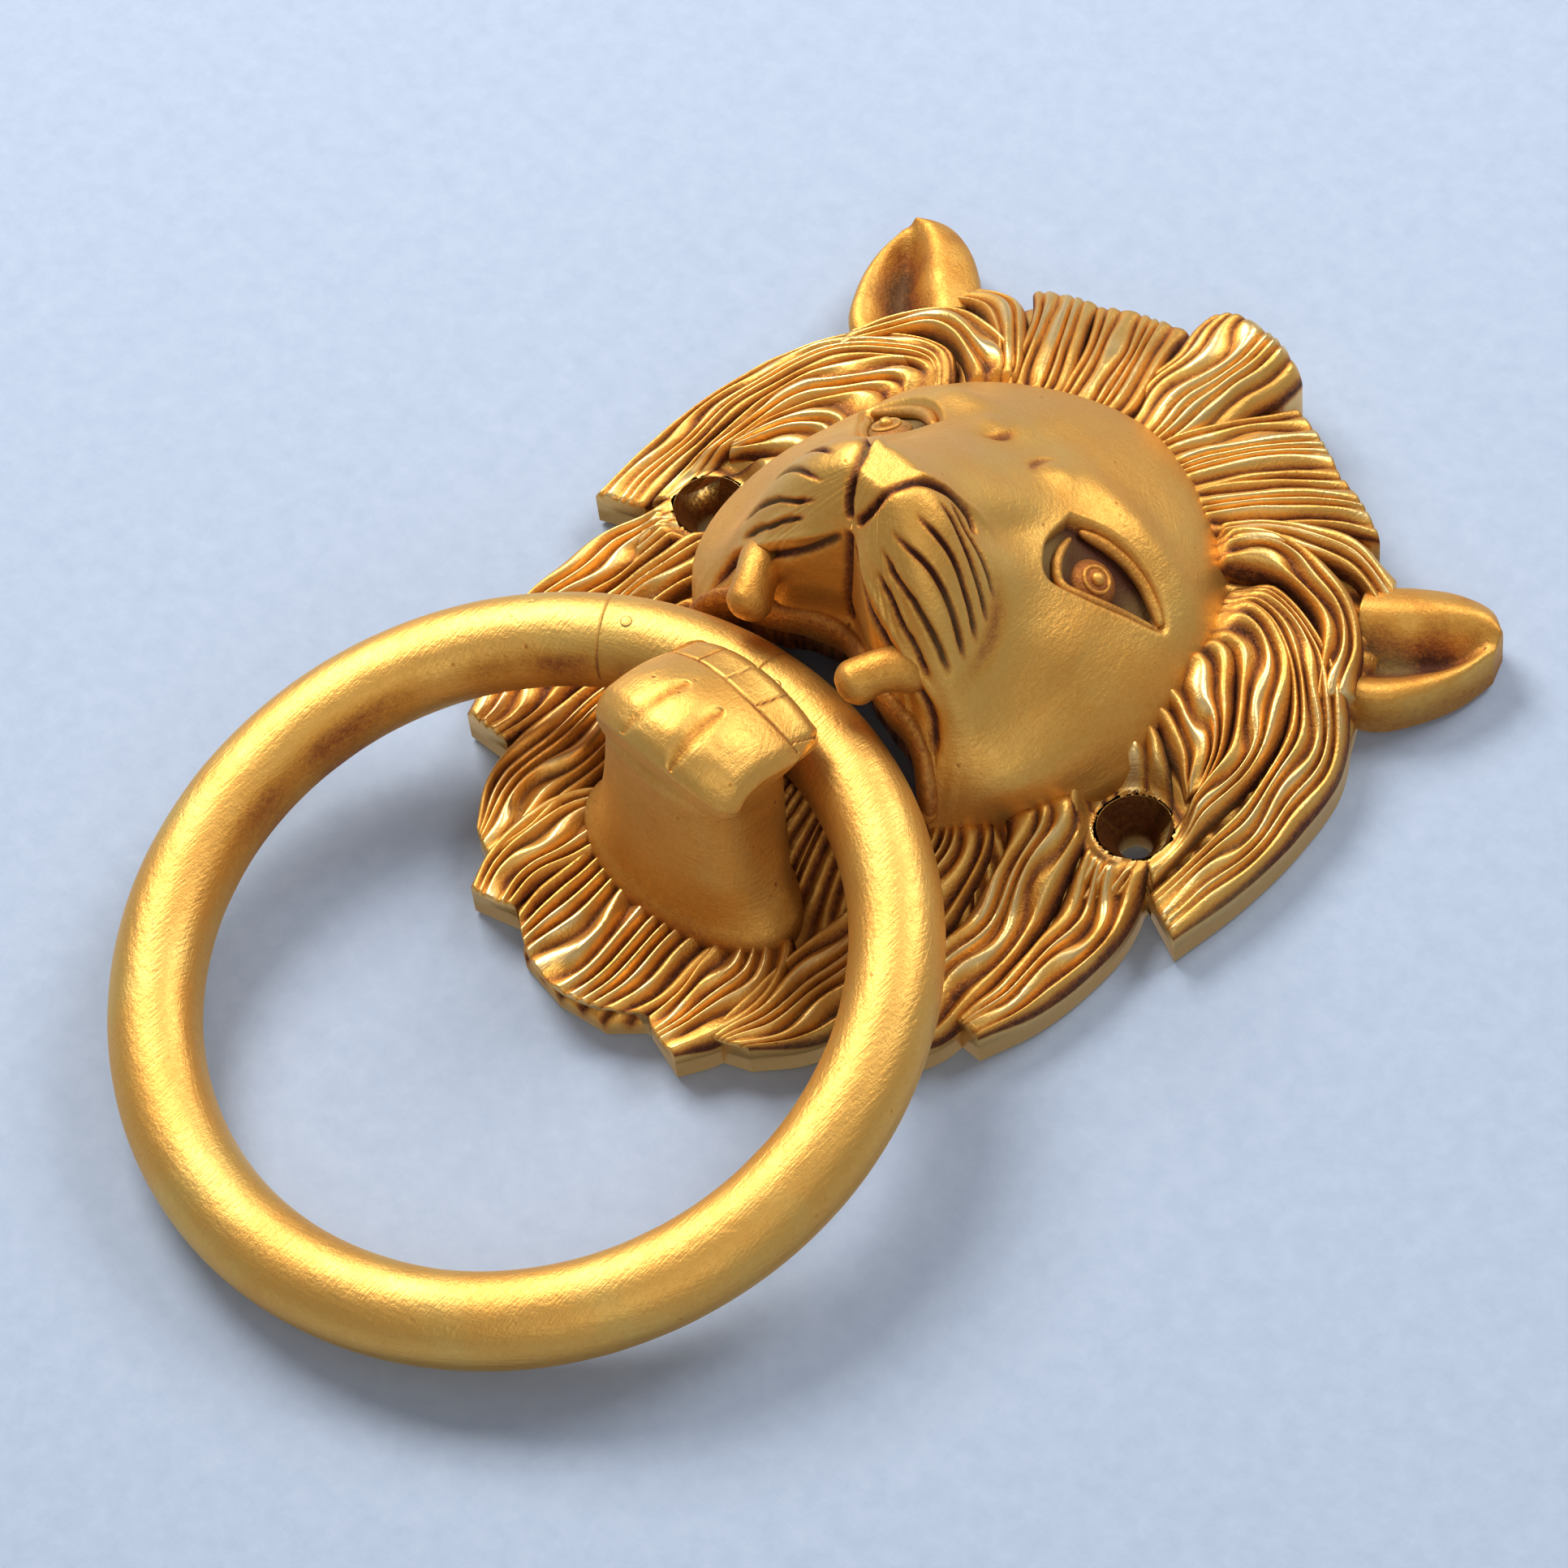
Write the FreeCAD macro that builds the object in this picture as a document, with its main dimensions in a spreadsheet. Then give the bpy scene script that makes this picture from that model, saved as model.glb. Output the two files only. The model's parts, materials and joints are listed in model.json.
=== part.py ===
"""Lion's head door knocker: a hollow cast mask screwed to the door, and the ring it holds in its jaw.

+X is to the right, +Z up the door and the face looks along -Y.  The back lies on the plane y = 0
and the origin is midway between the two screw holes.  Sizes are in millimetres and degrees.
"""
import FreeCAD, Part
import math
import os
import re

Vector = FreeCAD.Vector
x_axis, y_axis, z_axis = Vector(1, 0, 0), Vector(0, 1, 0), Vector(0, 0, 1)
doc = FreeCAD.newDocument("lion_door_knocker")
sheet = doc.addObject("Spreadsheet::Sheet", "sizes")

sizes = (
    # mane
    ("mane_half", 59.3, "half width of the mane"),
    ("mane_above", 75.0, "crest above the screw holes"),
    ("mane_below", 72.3, "beard below the screw holes"),
    ("mane_edge", 6.6, "thickness at the outline"),
    ("dome_half", 58.0, "half width of the raised hair"),
    ("dome_rise", 62.0, "half height of the raised hair"),
    ("dome_depth", 20.0, "how far the raised hair stands off the door"),
    ("dome_level", 20.0, "height of its middle"),
    ("crest_half", 9.0, "half width of the tuft over the forehead"),
    ("crest_depth", 17.5, "tuft off the door"),
    ("screw_spacing", 85.0, "between the two screw holes"),
    ("screw_bore", 5.0, "diameter through"),
    ("sink_rim", 10.8, "countersink at the front"),
    ("sink_depth", 4.0, "countersink, front to bore"),
    # face
    ("wall", 4.0, "thickness of the cast face"),
    ("face_half", 37.5, "half width at the hairline"),
    ("face_rise", 41.0, "half height at the hairline"),
    ("face_level", 9.5, "height of its middle"),
    ("face_seat", 12.0, "straight part of the rim in the mane"),
    ("crease", 0.5, "step behind the hairline"),
    ("nose_depth", 54.5, "tip of the nose off the door"),
    ("mouth_side", 15.85, "half width of the open mouth, beyond the radius of the bar"),
    ("mouth_over", 7.85, "from its middle to the upper lip, beyond the radius of the bar"),
    ("mouth_drop", 1.9, "its middle below the bar held in the jaw"),
    ("mouth_sill", 8.5, "how far off the door the opening starts"),
    ("eye_apart", 39.8, "between the pupils"),
    ("eye_level", 16.9, "height of the pupils"),
    ("eye_radius", 4.2, "eyeball"),
    ("eye_proud", 1.6, "eyeball in front of the cheek"),
    ("fang_apart", 23.0, "between the roots of the fangs"),
    ("fang_gap", 2.23, "from the front of the bar to the middle of the fangs"),
    ("fang_root", 3.2, "radius at the lip"),
    ("fang_point", 1.3, "radius at the tip"),
    ("fang_length", 7.6, "root to the middle of the rounded tip"),
    ("fang_lean", 11.0, "tips lean towards each other"),
    # ears
    ("ear_edge", 9.2, "thickness"),
    ("ear_reach", 16.0, "length beyond the mane"),
    ("ear_upturn", 3.4, "tip above the middle of the root"),
    ("ear_bowl", 3.4, "radius of the hollow along the ear"),
    # lower jaw
    ("jaw_half", 13.4, "half width of the chin"),
    ("jaw_top", 28.2, "lower teeth below the screw holes"),
    ("jaw_chin", 50.0, "chin below the screw holes"),
    ("jaw_depth", 41.0, "chin off the door"),
    ("jaw_curve", 20.4, "radius of the chin from above"),
    ("jaw_neck", 12.4, "half width of the neck"),
    ("foot_half", 18.0, "half width of the foot on the beard"),
    ("foot_rise", 12.5, "half height of the foot"),
    ("foot_level", -46.0, "height of the middle of the foot"),
    ("teeth_strip", 5.8, "height of the row of lower teeth"),
    ("groove_cut", 0.6, "width and depth of the engraved lines"),
    # ring
    ("ring_radius", 52.0, "to the middle of the bar"),
    ("bar_radius", 6.65, "the bar"),
    ("ring_tilt", 9.0, "low end lies against the door"),
    ("ring_level", -25.1, "bar held in the jaw, below the screw holes"),
    ("saddle_gap", 0.35, "running clearance round the bar"),
    ("head_gap", 1.6, "from the bar to the back of the chin"),
    ("link_start", 86.0, "closing link, from the right hand side"),
    ("link_sweep", 35.4, "closing link, end to end"),
    ("lap_sweep", 8.0, "each half lap"),
    ("pin_radius", 0.9, "pins through the laps"),
)
for row, (alias, value, note) in enumerate(sizes, start=1):
    sheet.set("A%d" % row, alias)
    sheet.set("B%d" % row, str(value))
    sheet.set("C%d" % row, note)
    sheet.setAlias("B%d" % row, alias)
doc.recompute()
aliases = {entry[0] for entry in sizes}


def val(alias):
    return float(sheet.get(alias))


def cell(formula):
    """Formula with each alias written as a reference to the sheet."""
    return re.sub("[a-z_]+", lambda word: "<<sizes>>." * (word[0] in aliases) + word[0], formula)


def make(kind, name, **formulas):
    item = doc.addObject(kind, name)
    for prop, formula in formulas.items():
        item.setExpression(prop, cell(formula))
    return item


def place(item, x="0", y="0", z="0", axis=None, angle="0"):
    if axis:
        item.Placement = FreeCAD.Placement(Vector(), FreeCAD.Rotation(axis, 1))
        item.setExpression("Placement.Rotation.Angle", cell(angle))
    for key, formula in (("x", x), ("y", y), ("z", z)):
        item.setExpression("Placement.Base." + key, cell(formula))
    return item


def boolean(kind, name, **shapes):
    item = doc.addObject(kind, name)
    item.Refine = False
    for prop, shape in shapes.items():
        setattr(item, prop, shape)
    return item


def cut(name, base, tool):
    return boolean("Part::Cut", name, Base=base, Tool=tool)


def common(name, *shapes):
    return boolean("Part::MultiCommon", name, Shapes=list(shapes))


def fuse(name, *shapes):
    return boolean("Part::MultiFuse", name, Shapes=list(shapes))


def oval(name, half, rise):
    """Upright ellipse facing the door, of either proportion."""
    tall = sheet.evalExpression(cell(rise)) > sheet.evalExpression(cell(half))
    curve = doc.addObject("Part::Ellipse", name)
    curve.MajorRadius = 1000
    curve.setExpression("MinorRadius", cell(half if tall else rise))
    curve.setExpression("MajorRadius", cell(rise if tall else half))
    turn = FreeCAD.Rotation(x_axis, 90) * FreeCAD.Rotation(z_axis, 90 if tall else 0)
    curve.Placement = FreeCAD.Placement(Vector(), turn)
    return curve


def bar_through(name, half, rise, level, front, back):
    """Elliptical cylinder along Y between two distances off the door."""
    curve = oval(name + "_curve", half, rise)
    place(curve, y="-1 * (%s)" % back, z=level)
    item = doc.addObject("Part::Extrusion", name)
    item.Base, item.DirMode, item.Dir, item.Solid = curve, "Custom", Vector(0, -1, 0), True
    item.setExpression("LengthFwd", cell("(%s) - (%s)" % (front, back)))
    return item


# ---- outline of the mane: right-hand locks from the crest down to the beard, as shares of the
# half width and of the height above or below the screw holes.  A pair is a corner, and three
# numbers more are the point that an arc passes on its way to the corner.
ear_root = ((0.700, 0.739), (0.860, 0.500))
locks = (
    ("arc", (0.094, 0.979), (0.138, 0.911)),
    ("arc", (0.405, 0.833), ear_root[0]),
    ("line", ear_root[1]),
    ("arc", (0.985, 0.246), (0.978, -0.122)),
    ("line", (0.850, -0.078)),
    ("arc", (0.894, -0.277), (0.835, -0.534)),
    ("line", (0.779, -0.520)),
    ("arc", (0.772, -0.595), (0.728, -0.669)),
    ("line", (0.595, -0.654)),
    ("arc", (0.540, -0.761), (0.465, -0.844)),
    ("line", (0.376, -0.880)),
    ("line", (0.347, -0.949)),
    ("line", (0.228, -0.917)),
    ("arc", (0.143, -0.982), (0.0, -1.0)),
)


def on_outline(share, side, depth=0.0):
    height = val("mane_above") if share[1] > 0 else val("mane_below")
    return Vector(side * share[0] * val("mane_half"), -depth, share[1] * height)


def mane_wire():
    edges = []
    for side in (1, -1):
        start = on_outline((0.0, 1.0), side)
        for kind, *stops in locks:
            stop = on_outline(stops[-1], side)
            if kind == "arc":
                edges.append(Part.Arc(start, on_outline(stops[0], side), stop).toShape())
            else:
                edges.append(Part.LineSegment(start, stop).toShape())
            start = stop
    return Part.Wire(Part.__sortEdges__(edges))


# ---- mane: flat back, scalloped edge, hair raised in a low dome round the face
outline = doc.addObject("Part::Feature", "mane_outline")
outline.Shape = Part.Face(mane_wire())

slab = doc.addObject("Part::Extrusion", "mane_slab")
slab.Base, slab.DirMode, slab.Dir, slab.Solid = outline, "Custom", Vector(0, -1, 0), True
slab.setExpression("LengthFwd", cell("mane_edge"))

block = doc.addObject("Part::Extrusion", "mane_block")
block.Base, block.DirMode, block.Dir, block.Solid = outline, "Custom", Vector(0, -1, 0), True
block.setExpression("LengthFwd", cell("dome_depth"))

hair = make("Part::Ellipsoid", "hair_dome", Radius1="dome_rise", Radius2="dome_half", Radius3="dome_depth")
place(hair, z="dome_level")
raised = common("raised_hair", block, hair)
mane_full = fuse("mane_full", slab, raised)

seat = bar_through("face_seat_cut", "face_half", "face_rise", "face_level", "dome_depth + 10", "-5")
mane_open = cut("mane_open", mane_full, seat)

screw_tools = []
for side, word in ((-1, "left"), (1, "right")):
    reach = "%d * screw_spacing / 2" % side
    bore = make("Part::Cylinder", word + "_bore", Radius="screw_bore / 2", Height="dome_depth + 10")
    place(bore, x=reach, y="5", axis=x_axis, angle="90")
    sink = make("Part::Cone", word + "_sink", Radius1="screw_bore / 2", Radius2="sink_rim / 2",
                Height="sink_depth")
    place(sink, x=reach, y="sink_depth - mane_edge - 1.4", axis=x_axis, angle="90")
    mouth = make("Part::Cylinder", word + "_sink_mouth", Radius="sink_rim / 2", Height="dome_depth")
    place(mouth, x=reach, y="-1.4 - mane_edge", axis=x_axis, angle="90")
    screw_tools += [bore, sink, mouth]
mane = cut("mane_plate", mane_open, fuse("screw_tools", *screw_tools))

# ---- crest: the tuft that stands up from the hairline over the forehead
def crest_shape():
    low = val("face_level") + val("face_rise") + val("crease")
    half, slope = val("crest_half"), val("crest_half") * 0.2
    foot = [Vector(side * half, 0, low) for side in (1, -1)]
    shoulder = [on_outline((0.138, 0.911), side) for side in (1, -1)]
    edges = [Part.Arc(shoulder[0], on_outline((0.094, 0.979), 1), on_outline((0.0, 1.0), 1)).toShape(),
             Part.Arc(on_outline((0.0, 1.0), 1), on_outline((0.094, 0.979), -1), shoulder[1]).toShape(),
             Part.LineSegment(shoulder[1], foot[1]).toShape(),
             Part.LineSegment(foot[1], foot[0]).toShape(),
             Part.LineSegment(foot[0], shoulder[0]).toShape()]
    leaf = Part.Face(Part.Wire(edges)).extrude(Vector(0, -val("crest_depth"), 0))
    ridge = Part.makeCylinder(half + slope, 2 * val("mane_above"),
                              Vector(0, half + slope - val("crest_depth"), 0), Vector(0, 0, 1))
    return leaf.common(ridge)


tuft = doc.addObject("Part::Feature", "crest_blank")
tuft.Shape = crest_shape()
crest = cut("crest", tuft, mane)

# ---- face: hollow behind, open at the mouth.  Level curves, each at a share of the way from the
# rim to the tip of the nose; their points run from the top to the bottom of the right-hand side,
# across as shares of face_half and up as shares of face_rise from face_level.
levels = (
    (0.00, (0.000, 1.000), (0.700, 0.707), (0.993, 0.000), (0.700, -0.707), (0.000, -1.000)),
    (0.19, (0.000, 0.890), (0.613, 0.598), (0.880, 0.110), (0.773, -0.622), (0.000, -0.866)),
    (0.38, (0.000, 0.646), (0.480, 0.427), (0.680, 0.061), (0.627, -0.573), (0.000, -0.720)),
    (0.56, (0.000, 0.317), (0.347, 0.183), (0.507, -0.134), (0.493, -0.524), (0.000, -0.622)),
    (0.73, (0.000, 0.085), (0.253, 0.012), (0.413, -0.207), (0.387, -0.488), (0.000, -0.549)),
    (0.85, (0.000, -0.061), (0.200, -0.110), (0.333, -0.256), (0.293, -0.451), (0.000, -0.495)),
    (0.94, (0.000, -0.154), (0.133, -0.176), (0.240, -0.268), (0.200, -0.390), (0.000, -0.422)),
    (1.00, (0.000, -0.212), (0.067, -0.222), (0.120, -0.271), (0.093, -0.329), (0.000, -0.344)),
)


def face_loft(inset):
    """Solid through the level curves, the inset below the outer surface."""
    curves = []
    for share, *points in levels:
        middle = (points[0][1] + points[-1][1]) / 2
        ring = points + [(-across, up) for across, up in reversed(points[1:-1])]
        spots = []
        for across, up in ring:
            out = Vector(across * val("face_half"), 0, (up - middle) * val("face_rise"))
            spots.append(out * (1 - (inset + val("crease")) / out.Length) if out.Length > inset else Vector())
        if min(spot.Length for spot in spots) < 2 * inset / val("wall"):
            continue
        depth = val("face_seat") + share * (val("nose_depth") - val("face_seat")) - (0.85 * inset if share else 0)
        home = Vector(0, -depth, val("face_level") + middle * val("face_rise"))
        curve = Part.BSplineCurve()
        curve.interpolate([home + spot for spot in spots], PeriodicFlag=True)
        curves.append(Part.Wire(curve.toShape()))
    return Part.makeLoft(curves, True, inset > 0)


def face_pair(name, inset, back):
    """Straight rim and the loft in front of it."""
    rim = bar_through(name + "_rim", "face_half" + inset, "face_rise" + inset, "face_level",
                      "face_seat", back)
    front = doc.addObject("Part::Feature", name + "_front")
    front.Shape = face_loft(val("wall") if inset else 0.0)
    return rim, front


face_full = fuse("face_full", *face_pair("face_outer", "", "0"))
hollow_rim, hollow_front = face_pair("face_hollow", " - wall", "-5")
mouth_cut = bar_through("mouth_cut", "bar_radius + mouth_side", "bar_radius + mouth_over",
                        "ring_level - mouth_drop", "nose_depth + 10", "mouth_sill")
face_open = cut("face_open", face_full, mouth_cut)
face = cut("face_shell", cut("face_thinned", face_open, hollow_front), hollow_rim)

# ---- eyes and fangs, each seated on the face
doc.recompute()


def first_hit(shape, start, way):
    """Point where a ray first meets the shape."""
    line = Part.makeLine(start, start + way * 200).common(shape)
    return min((corner.Point for corner in line.Vertexes), key=lambda point: point.distanceToPoint(start))


pivot_y = "-1 * bar_radius - 2 * ring_radius * sin(ring_tilt * 1 deg)"
pivot_depth = val("bar_radius") + 2 * val("ring_radius") * math.sin(math.radians(val("ring_tilt")))
fang_depth = pivot_depth + val("bar_radius") + val("fang_gap")

features = []
for side, word in ((-1, "left"), (1, "right")):
    spot = first_hit(face_full.Shape, Vector(side * val("eye_apart") / 2, -100, val("eye_level")), y_axis)
    ball = make("Part::Sphere", word + "_eyeball", Radius="eye_radius")
    place(ball, x="%d * eye_apart / 2" % side, z="eye_level", y="%.4f + eye_radius - eye_proud" % spot.y)
    eye = cut(word + "_eye", ball, face_full)

    spot = first_hit(face.Shape, Vector(side * val("fang_apart") / 2, -fang_depth, -100), z_axis)
    cone = make("Part::Cone", word + "_fang_cone", Radius1="fang_root", Radius2="fang_point",
                Height="fang_length")
    tip = make("Part::Sphere", word + "_fang_tip", Radius="fang_point")
    place(tip, z="fang_length")
    fang_blank = fuse(word + "_fang_blank", cone, tip)
    place(fang_blank, x="%d * fang_apart / 2" % side, y=pivot_y + " - bar_radius - fang_gap", z="%.4f + 0.9" % spot.z,
          axis=y_axis, angle="180 + %d * fang_lean" % side)
    fang = cut(word + "_fang", fang_blank, face)
    features += [eye, fang]


# ---- ears: leaf shaped, hollowed along the middle, on the upper shoulders of the mane
def ear_shape(side):
    upper, lower = (on_outline(share, side) for share in ear_root)
    middle = (upper + lower) * 0.5
    down = (lower - upper).normalize()
    away = Vector(-down.z * side, 0, down.x * side)
    tip = middle + away * val("ear_reach") - down * val("ear_upturn")
    bulge = (tip - middle).Length
    edges = (Part.Arc(upper, (upper + tip) * 0.5 - down * bulge * 0.18, tip).toShape(),
             Part.Arc(tip, (lower + tip) * 0.5 + away * bulge * 0.05, lower).toShape(),
             Part.LineSegment(lower, upper).toShape())
    leaf = Part.Face(Part.Wire(edges)).extrude(Vector(0, -val("ear_edge"), 0))
    start = middle + (tip - middle) * 0.1 - Vector(0, val("ear_edge"), 0)
    bowl = Part.makeCone(val("ear_bowl"), 0.4, bulge * 0.75, start, tip - middle)
    return leaf.cut(bowl)


ears = []
for side, word in ((-1, "left"), (1, "right")):
    leaf = doc.addObject("Part::Feature", word + "_ear_leaf")
    leaf.Shape = ear_shape(side)
    ears.append(cut(word + "_ear", leaf, mane))

# ---- lower jaw: a foot on the beard, a neck that the bar hangs on, and a chin in front of it
sections = []
for name, half, rise, level, depth in (
        ("foot_root", "foot_half", "foot_rise", "foot_level", "mane_edge / 2"),
        ("foot_face", "foot_half", "foot_rise", "foot_level", "mane_edge + 1"),
        ("neck_waist", "jaw_neck", "(jaw_chin - jaw_top) / 2 - 1.6", "-1 * (jaw_chin + jaw_top) / 2 - 2.2",
         "mane_edge + 9"),
        ("neck_head", "jaw_neck", "(jaw_chin - jaw_top) / 2 - 1.2", "-1 * (jaw_chin + jaw_top) / 2 - 0.6",
         "jaw_depth - 8")):
    sections.append(place(oval(name, half, rise), y="-1 * (%s)" % depth, z=level))
neck = doc.addObject("Part::Loft", "neck")
neck.Sections, neck.Solid, neck.Ruled = sections, True, True

chin_box = make("Part::Box", "chin_box", Length="2 * jaw_half", Height="jaw_chin - jaw_top",
                Width="jaw_depth - 2 * ring_radius * sin(ring_tilt * 1 deg) - 2 * bar_radius - head_gap")
place(chin_box, x="-1 * jaw_half", y="-1 * jaw_depth", z="-1 * jaw_chin")
chin_round = make("Part::Cylinder", "chin_round", Radius="jaw_curve", Height="2 * jaw_chin")
place(chin_round, y="jaw_curve - jaw_depth", z="-2 * jaw_chin")
chin = common("chin", chin_box, chin_round)

# the saddle follows the inside of the ring as the ring swings on its bar
sweep_drum = make("Part::Cylinder", "sweep_drum", Radius="ring_radius / 2", Height="2 * jaw_half + 8")
place(sweep_drum, x="-1 * jaw_half - 4", y=pivot_y, z="ring_level", axis=y_axis, angle="90")
sweep_core = make("Part::Torus", "sweep_core", Radius1="ring_radius",
                  Radius2="ring_radius - bar_radius - saddle_gap")
place(sweep_core, y=pivot_y, z="ring_level", axis=y_axis, angle="90")
sweep = cut("ring_sweep", sweep_drum, sweep_core)

engraving = []
line = make("Part::Box", "tooth_line", Length="2 * jaw_half", Width="groove_cut * 2 + 8", Height="groove_cut")
place(line, x="-1 * jaw_half", y="-1 * jaw_depth - 8 + groove_cut", z="-1 * jaw_top - teeth_strip")
engraving.append(line)
for number in (-1, 0, 1):
    gap = make("Part::Box", "tooth_gap_%d" % (number + 2), Length="groove_cut",
               Width="groove_cut * 2 + 8", Height="teeth_strip + 1")
    place(gap, x="%d * jaw_half / 2 - groove_cut / 2" % number,
          y="-1 * jaw_depth - 8 + groove_cut - %d * 1.1" % -abs(number), z="-1 * jaw_top - teeth_strip")
    engraving.append(gap)
jaw_blank = cut("jaw_on_mane", fuse("jaw_blank", neck, chin), mane)
jaw = cut("lower_jaw", cut("jaw_saddle", jaw_blank, sweep), fuse("engraving", *engraving))

# ---- ring: an open ring closed by a link, half lapped and pinned at each end.  Made flat about
# its own middle, local Z out of the door, then tilted so that its low end lies on the door.
ring_home = dict(y="-1 * bar_radius - ring_radius * sin(ring_tilt * 1 deg)",
                 z="ring_level - ring_radius * cos(ring_tilt * 1 deg)",
                 axis=x_axis, angle="90 + ring_tilt")


def bar(name, start, sweep_angle, section=(-180, 180)):
    item = make("Part::Torus", name, Radius1="ring_radius", Radius2="bar_radius", Angle3=sweep_angle)
    item.Angle1, item.Angle2 = section
    return place(item, axis=z_axis, angle=start)


front, back = (0, 180), (-180, 0)
open_ring = bar("open_ring", "link_start + link_sweep", "360 - link_sweep")
closing = bar("closing_bar", "link_start + lap_sweep", "link_sweep - 2 * lap_sweep")
laps = {}
for word, start in (("near", "link_start"), ("far", "link_start + link_sweep - lap_sweep")):
    laps[word] = (bar(word + "_lap_front", start, "lap_sweep", front),
                  bar(word + "_lap_back", start, "lap_sweep", back))
pin_tools = []
for word, at in (("near", "link_start + lap_sweep / 2"),
                 ("far", "link_start + link_sweep - lap_sweep / 2")):
    pin = make("Part::Cylinder", word + "_pin_rod", Radius="pin_radius", Height="4 * bar_radius")
    place(pin, x="ring_radius * cos(( %s ) * 1 deg)" % at, y="ring_radius * sin(( %s ) * 1 deg)" % at,
          z="-2 * bar_radius")
    pin_tools.append(pin)
whole_bar = bar("whole_bar", "0", "360")
rods = fuse("pin_rods", *pin_tools)
ring_main = cut("ring_main", fuse("ring_blank", open_ring, laps["near"][0], laps["far"][1]), rods)
ring_link = cut("ring_link", fuse("link_blank", closing, laps["near"][1], laps["far"][0]), rods)
ring_pins = common("ring_pins", rods, whole_bar)
for item in (ring_main, ring_link, ring_pins):
    place(item, **ring_home)

# ---- build, check and write every piece
pieces = [mane, crest, face, *ears, *features, jaw, ring_main, ring_link, ring_pins]
doc.recompute()
faults = [item.Label for item in doc.Objects if {"Invalid", "Error"} & set(item.State)]
for item in pieces:
    if item.Shape.isNull() or not item.Shape.isValid() or not item.Shape.Solids:
        faults.append(item.Label + " has no sound shape")
if faults:
    raise RuntimeError("failed: " + ", ".join(faults))

os.makedirs("parts", exist_ok=True)
for item in pieces:
    item.Shape.exportStep("parts/%s.step" % item.Label)
    print("%-12s %d solid %9.1f mm3" % (item.Label, len(item.Shape.Solids), item.Shape.Volume))
print("the ring turns about X through y = %.2f, z = %.2f" % (-pivot_depth, val("ring_level")))
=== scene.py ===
import json
import math
import bpy
import numpy as np
from mathutils import Matrix, Vector

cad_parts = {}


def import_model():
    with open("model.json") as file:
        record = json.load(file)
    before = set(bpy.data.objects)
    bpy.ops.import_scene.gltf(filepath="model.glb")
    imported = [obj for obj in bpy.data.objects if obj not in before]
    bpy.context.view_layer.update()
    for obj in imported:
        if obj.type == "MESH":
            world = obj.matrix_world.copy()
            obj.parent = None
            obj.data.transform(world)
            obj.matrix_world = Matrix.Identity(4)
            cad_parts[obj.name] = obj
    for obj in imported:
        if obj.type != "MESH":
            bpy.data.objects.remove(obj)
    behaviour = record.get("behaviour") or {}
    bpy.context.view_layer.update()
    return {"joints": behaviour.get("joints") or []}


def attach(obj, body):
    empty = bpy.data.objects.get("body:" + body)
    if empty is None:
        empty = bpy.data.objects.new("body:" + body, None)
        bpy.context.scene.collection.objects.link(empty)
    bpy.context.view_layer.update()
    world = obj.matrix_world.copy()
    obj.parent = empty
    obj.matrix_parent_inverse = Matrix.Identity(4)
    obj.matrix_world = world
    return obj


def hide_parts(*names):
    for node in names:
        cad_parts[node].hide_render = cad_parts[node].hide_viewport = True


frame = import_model()
bpy.ops.object.select_all(action="DESELECT")
mm = 0.001
pivot = np.array(frame["joints"][0]["pos_m"]) / mm


# small tools for shaping

def smooth(low, high, value):
    t = np.clip((value - low) / (high - low), 0, 1)
    return t * t * (3 - 2 * t)


def unit(vectors):
    return vectors / np.maximum(np.linalg.norm(vectors, axis=-1, keepdims=True), 1e-9)


def through(points, places):
    # smooth line through the points; places run from 0 to 1 along it
    points = np.asarray(points, float)
    steps = np.linalg.norm(np.diff(points, axis=0), axis=-1)
    steps = steps.reshape(len(steps), -1).mean(axis=1)
    knots = np.concatenate([[0], np.cumsum(steps)]) / steps.sum()
    slope = np.gradient(points, knots, axis=0)
    k = np.clip(np.searchsorted(knots, places, side="right") - 1, 0, len(points) - 2)
    shape = (-1,) + (1,) * (points.ndim - 1)
    span = (knots[k + 1] - knots[k]).reshape(shape)
    t = (np.asarray(places) - knots[k]).reshape(shape) / span
    return ((2 * t ** 3 - 3 * t ** 2 + 1) * points[k] + (t ** 3 - 2 * t ** 2 + t) * span * slope[k]
            + (3 * t ** 2 - 2 * t ** 3) * points[k + 1] + (t ** 3 - t ** 2) * span * slope[k + 1])


def lumps(points, size, seed):
    # smooth random lumps of about that size, from -1 to 1
    cells = np.asarray(points, float) / size
    base = np.floor(cells).astype(np.int64)
    part = cells - base
    part = part * part * (3 - 2 * part)
    total = 0.0
    for corner in np.ndindex(*(2,) * cells.shape[-1]):
        key = (base + corner) * np.array([73856093, 19349663, 83492791])[:cells.shape[-1]]
        mixed = np.bitwise_xor.reduce(key, axis=-1) ^ (seed * 668265263 + 374761393)
        mixed = ((mixed ^ (mixed >> 13)) * 1274126177) & 0x7fffffff
        value = ((mixed ^ (mixed >> 15)) & 0xffff) / 32767.5 - 1
        total = total + value * np.prod(np.where(np.array(corner) == 1, part, 1 - part), axis=-1)
    return total


def editMesh(piece, *steps):
    bpy.ops.object.select_all(action="DESELECT")
    bpy.context.view_layer.objects.active = piece
    piece.select_set(True)
    bpy.ops.object.mode_set(mode="EDIT")
    bpy.ops.mesh.select_all(action="SELECT")
    for step in steps:
        step()
    bpy.ops.object.mode_set(mode="OBJECT")


def weld():
    bpy.ops.mesh.remove_doubles(threshold=2e-6)


def outward():
    bpy.ops.mesh.select_all(action="SELECT")
    bpy.ops.mesh.normals_make_consistent(inside=False)


def closeEnds():
    bpy.ops.mesh.select_all(action="SELECT")
    bpy.ops.mesh.fill_holes(sides=0)


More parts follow.
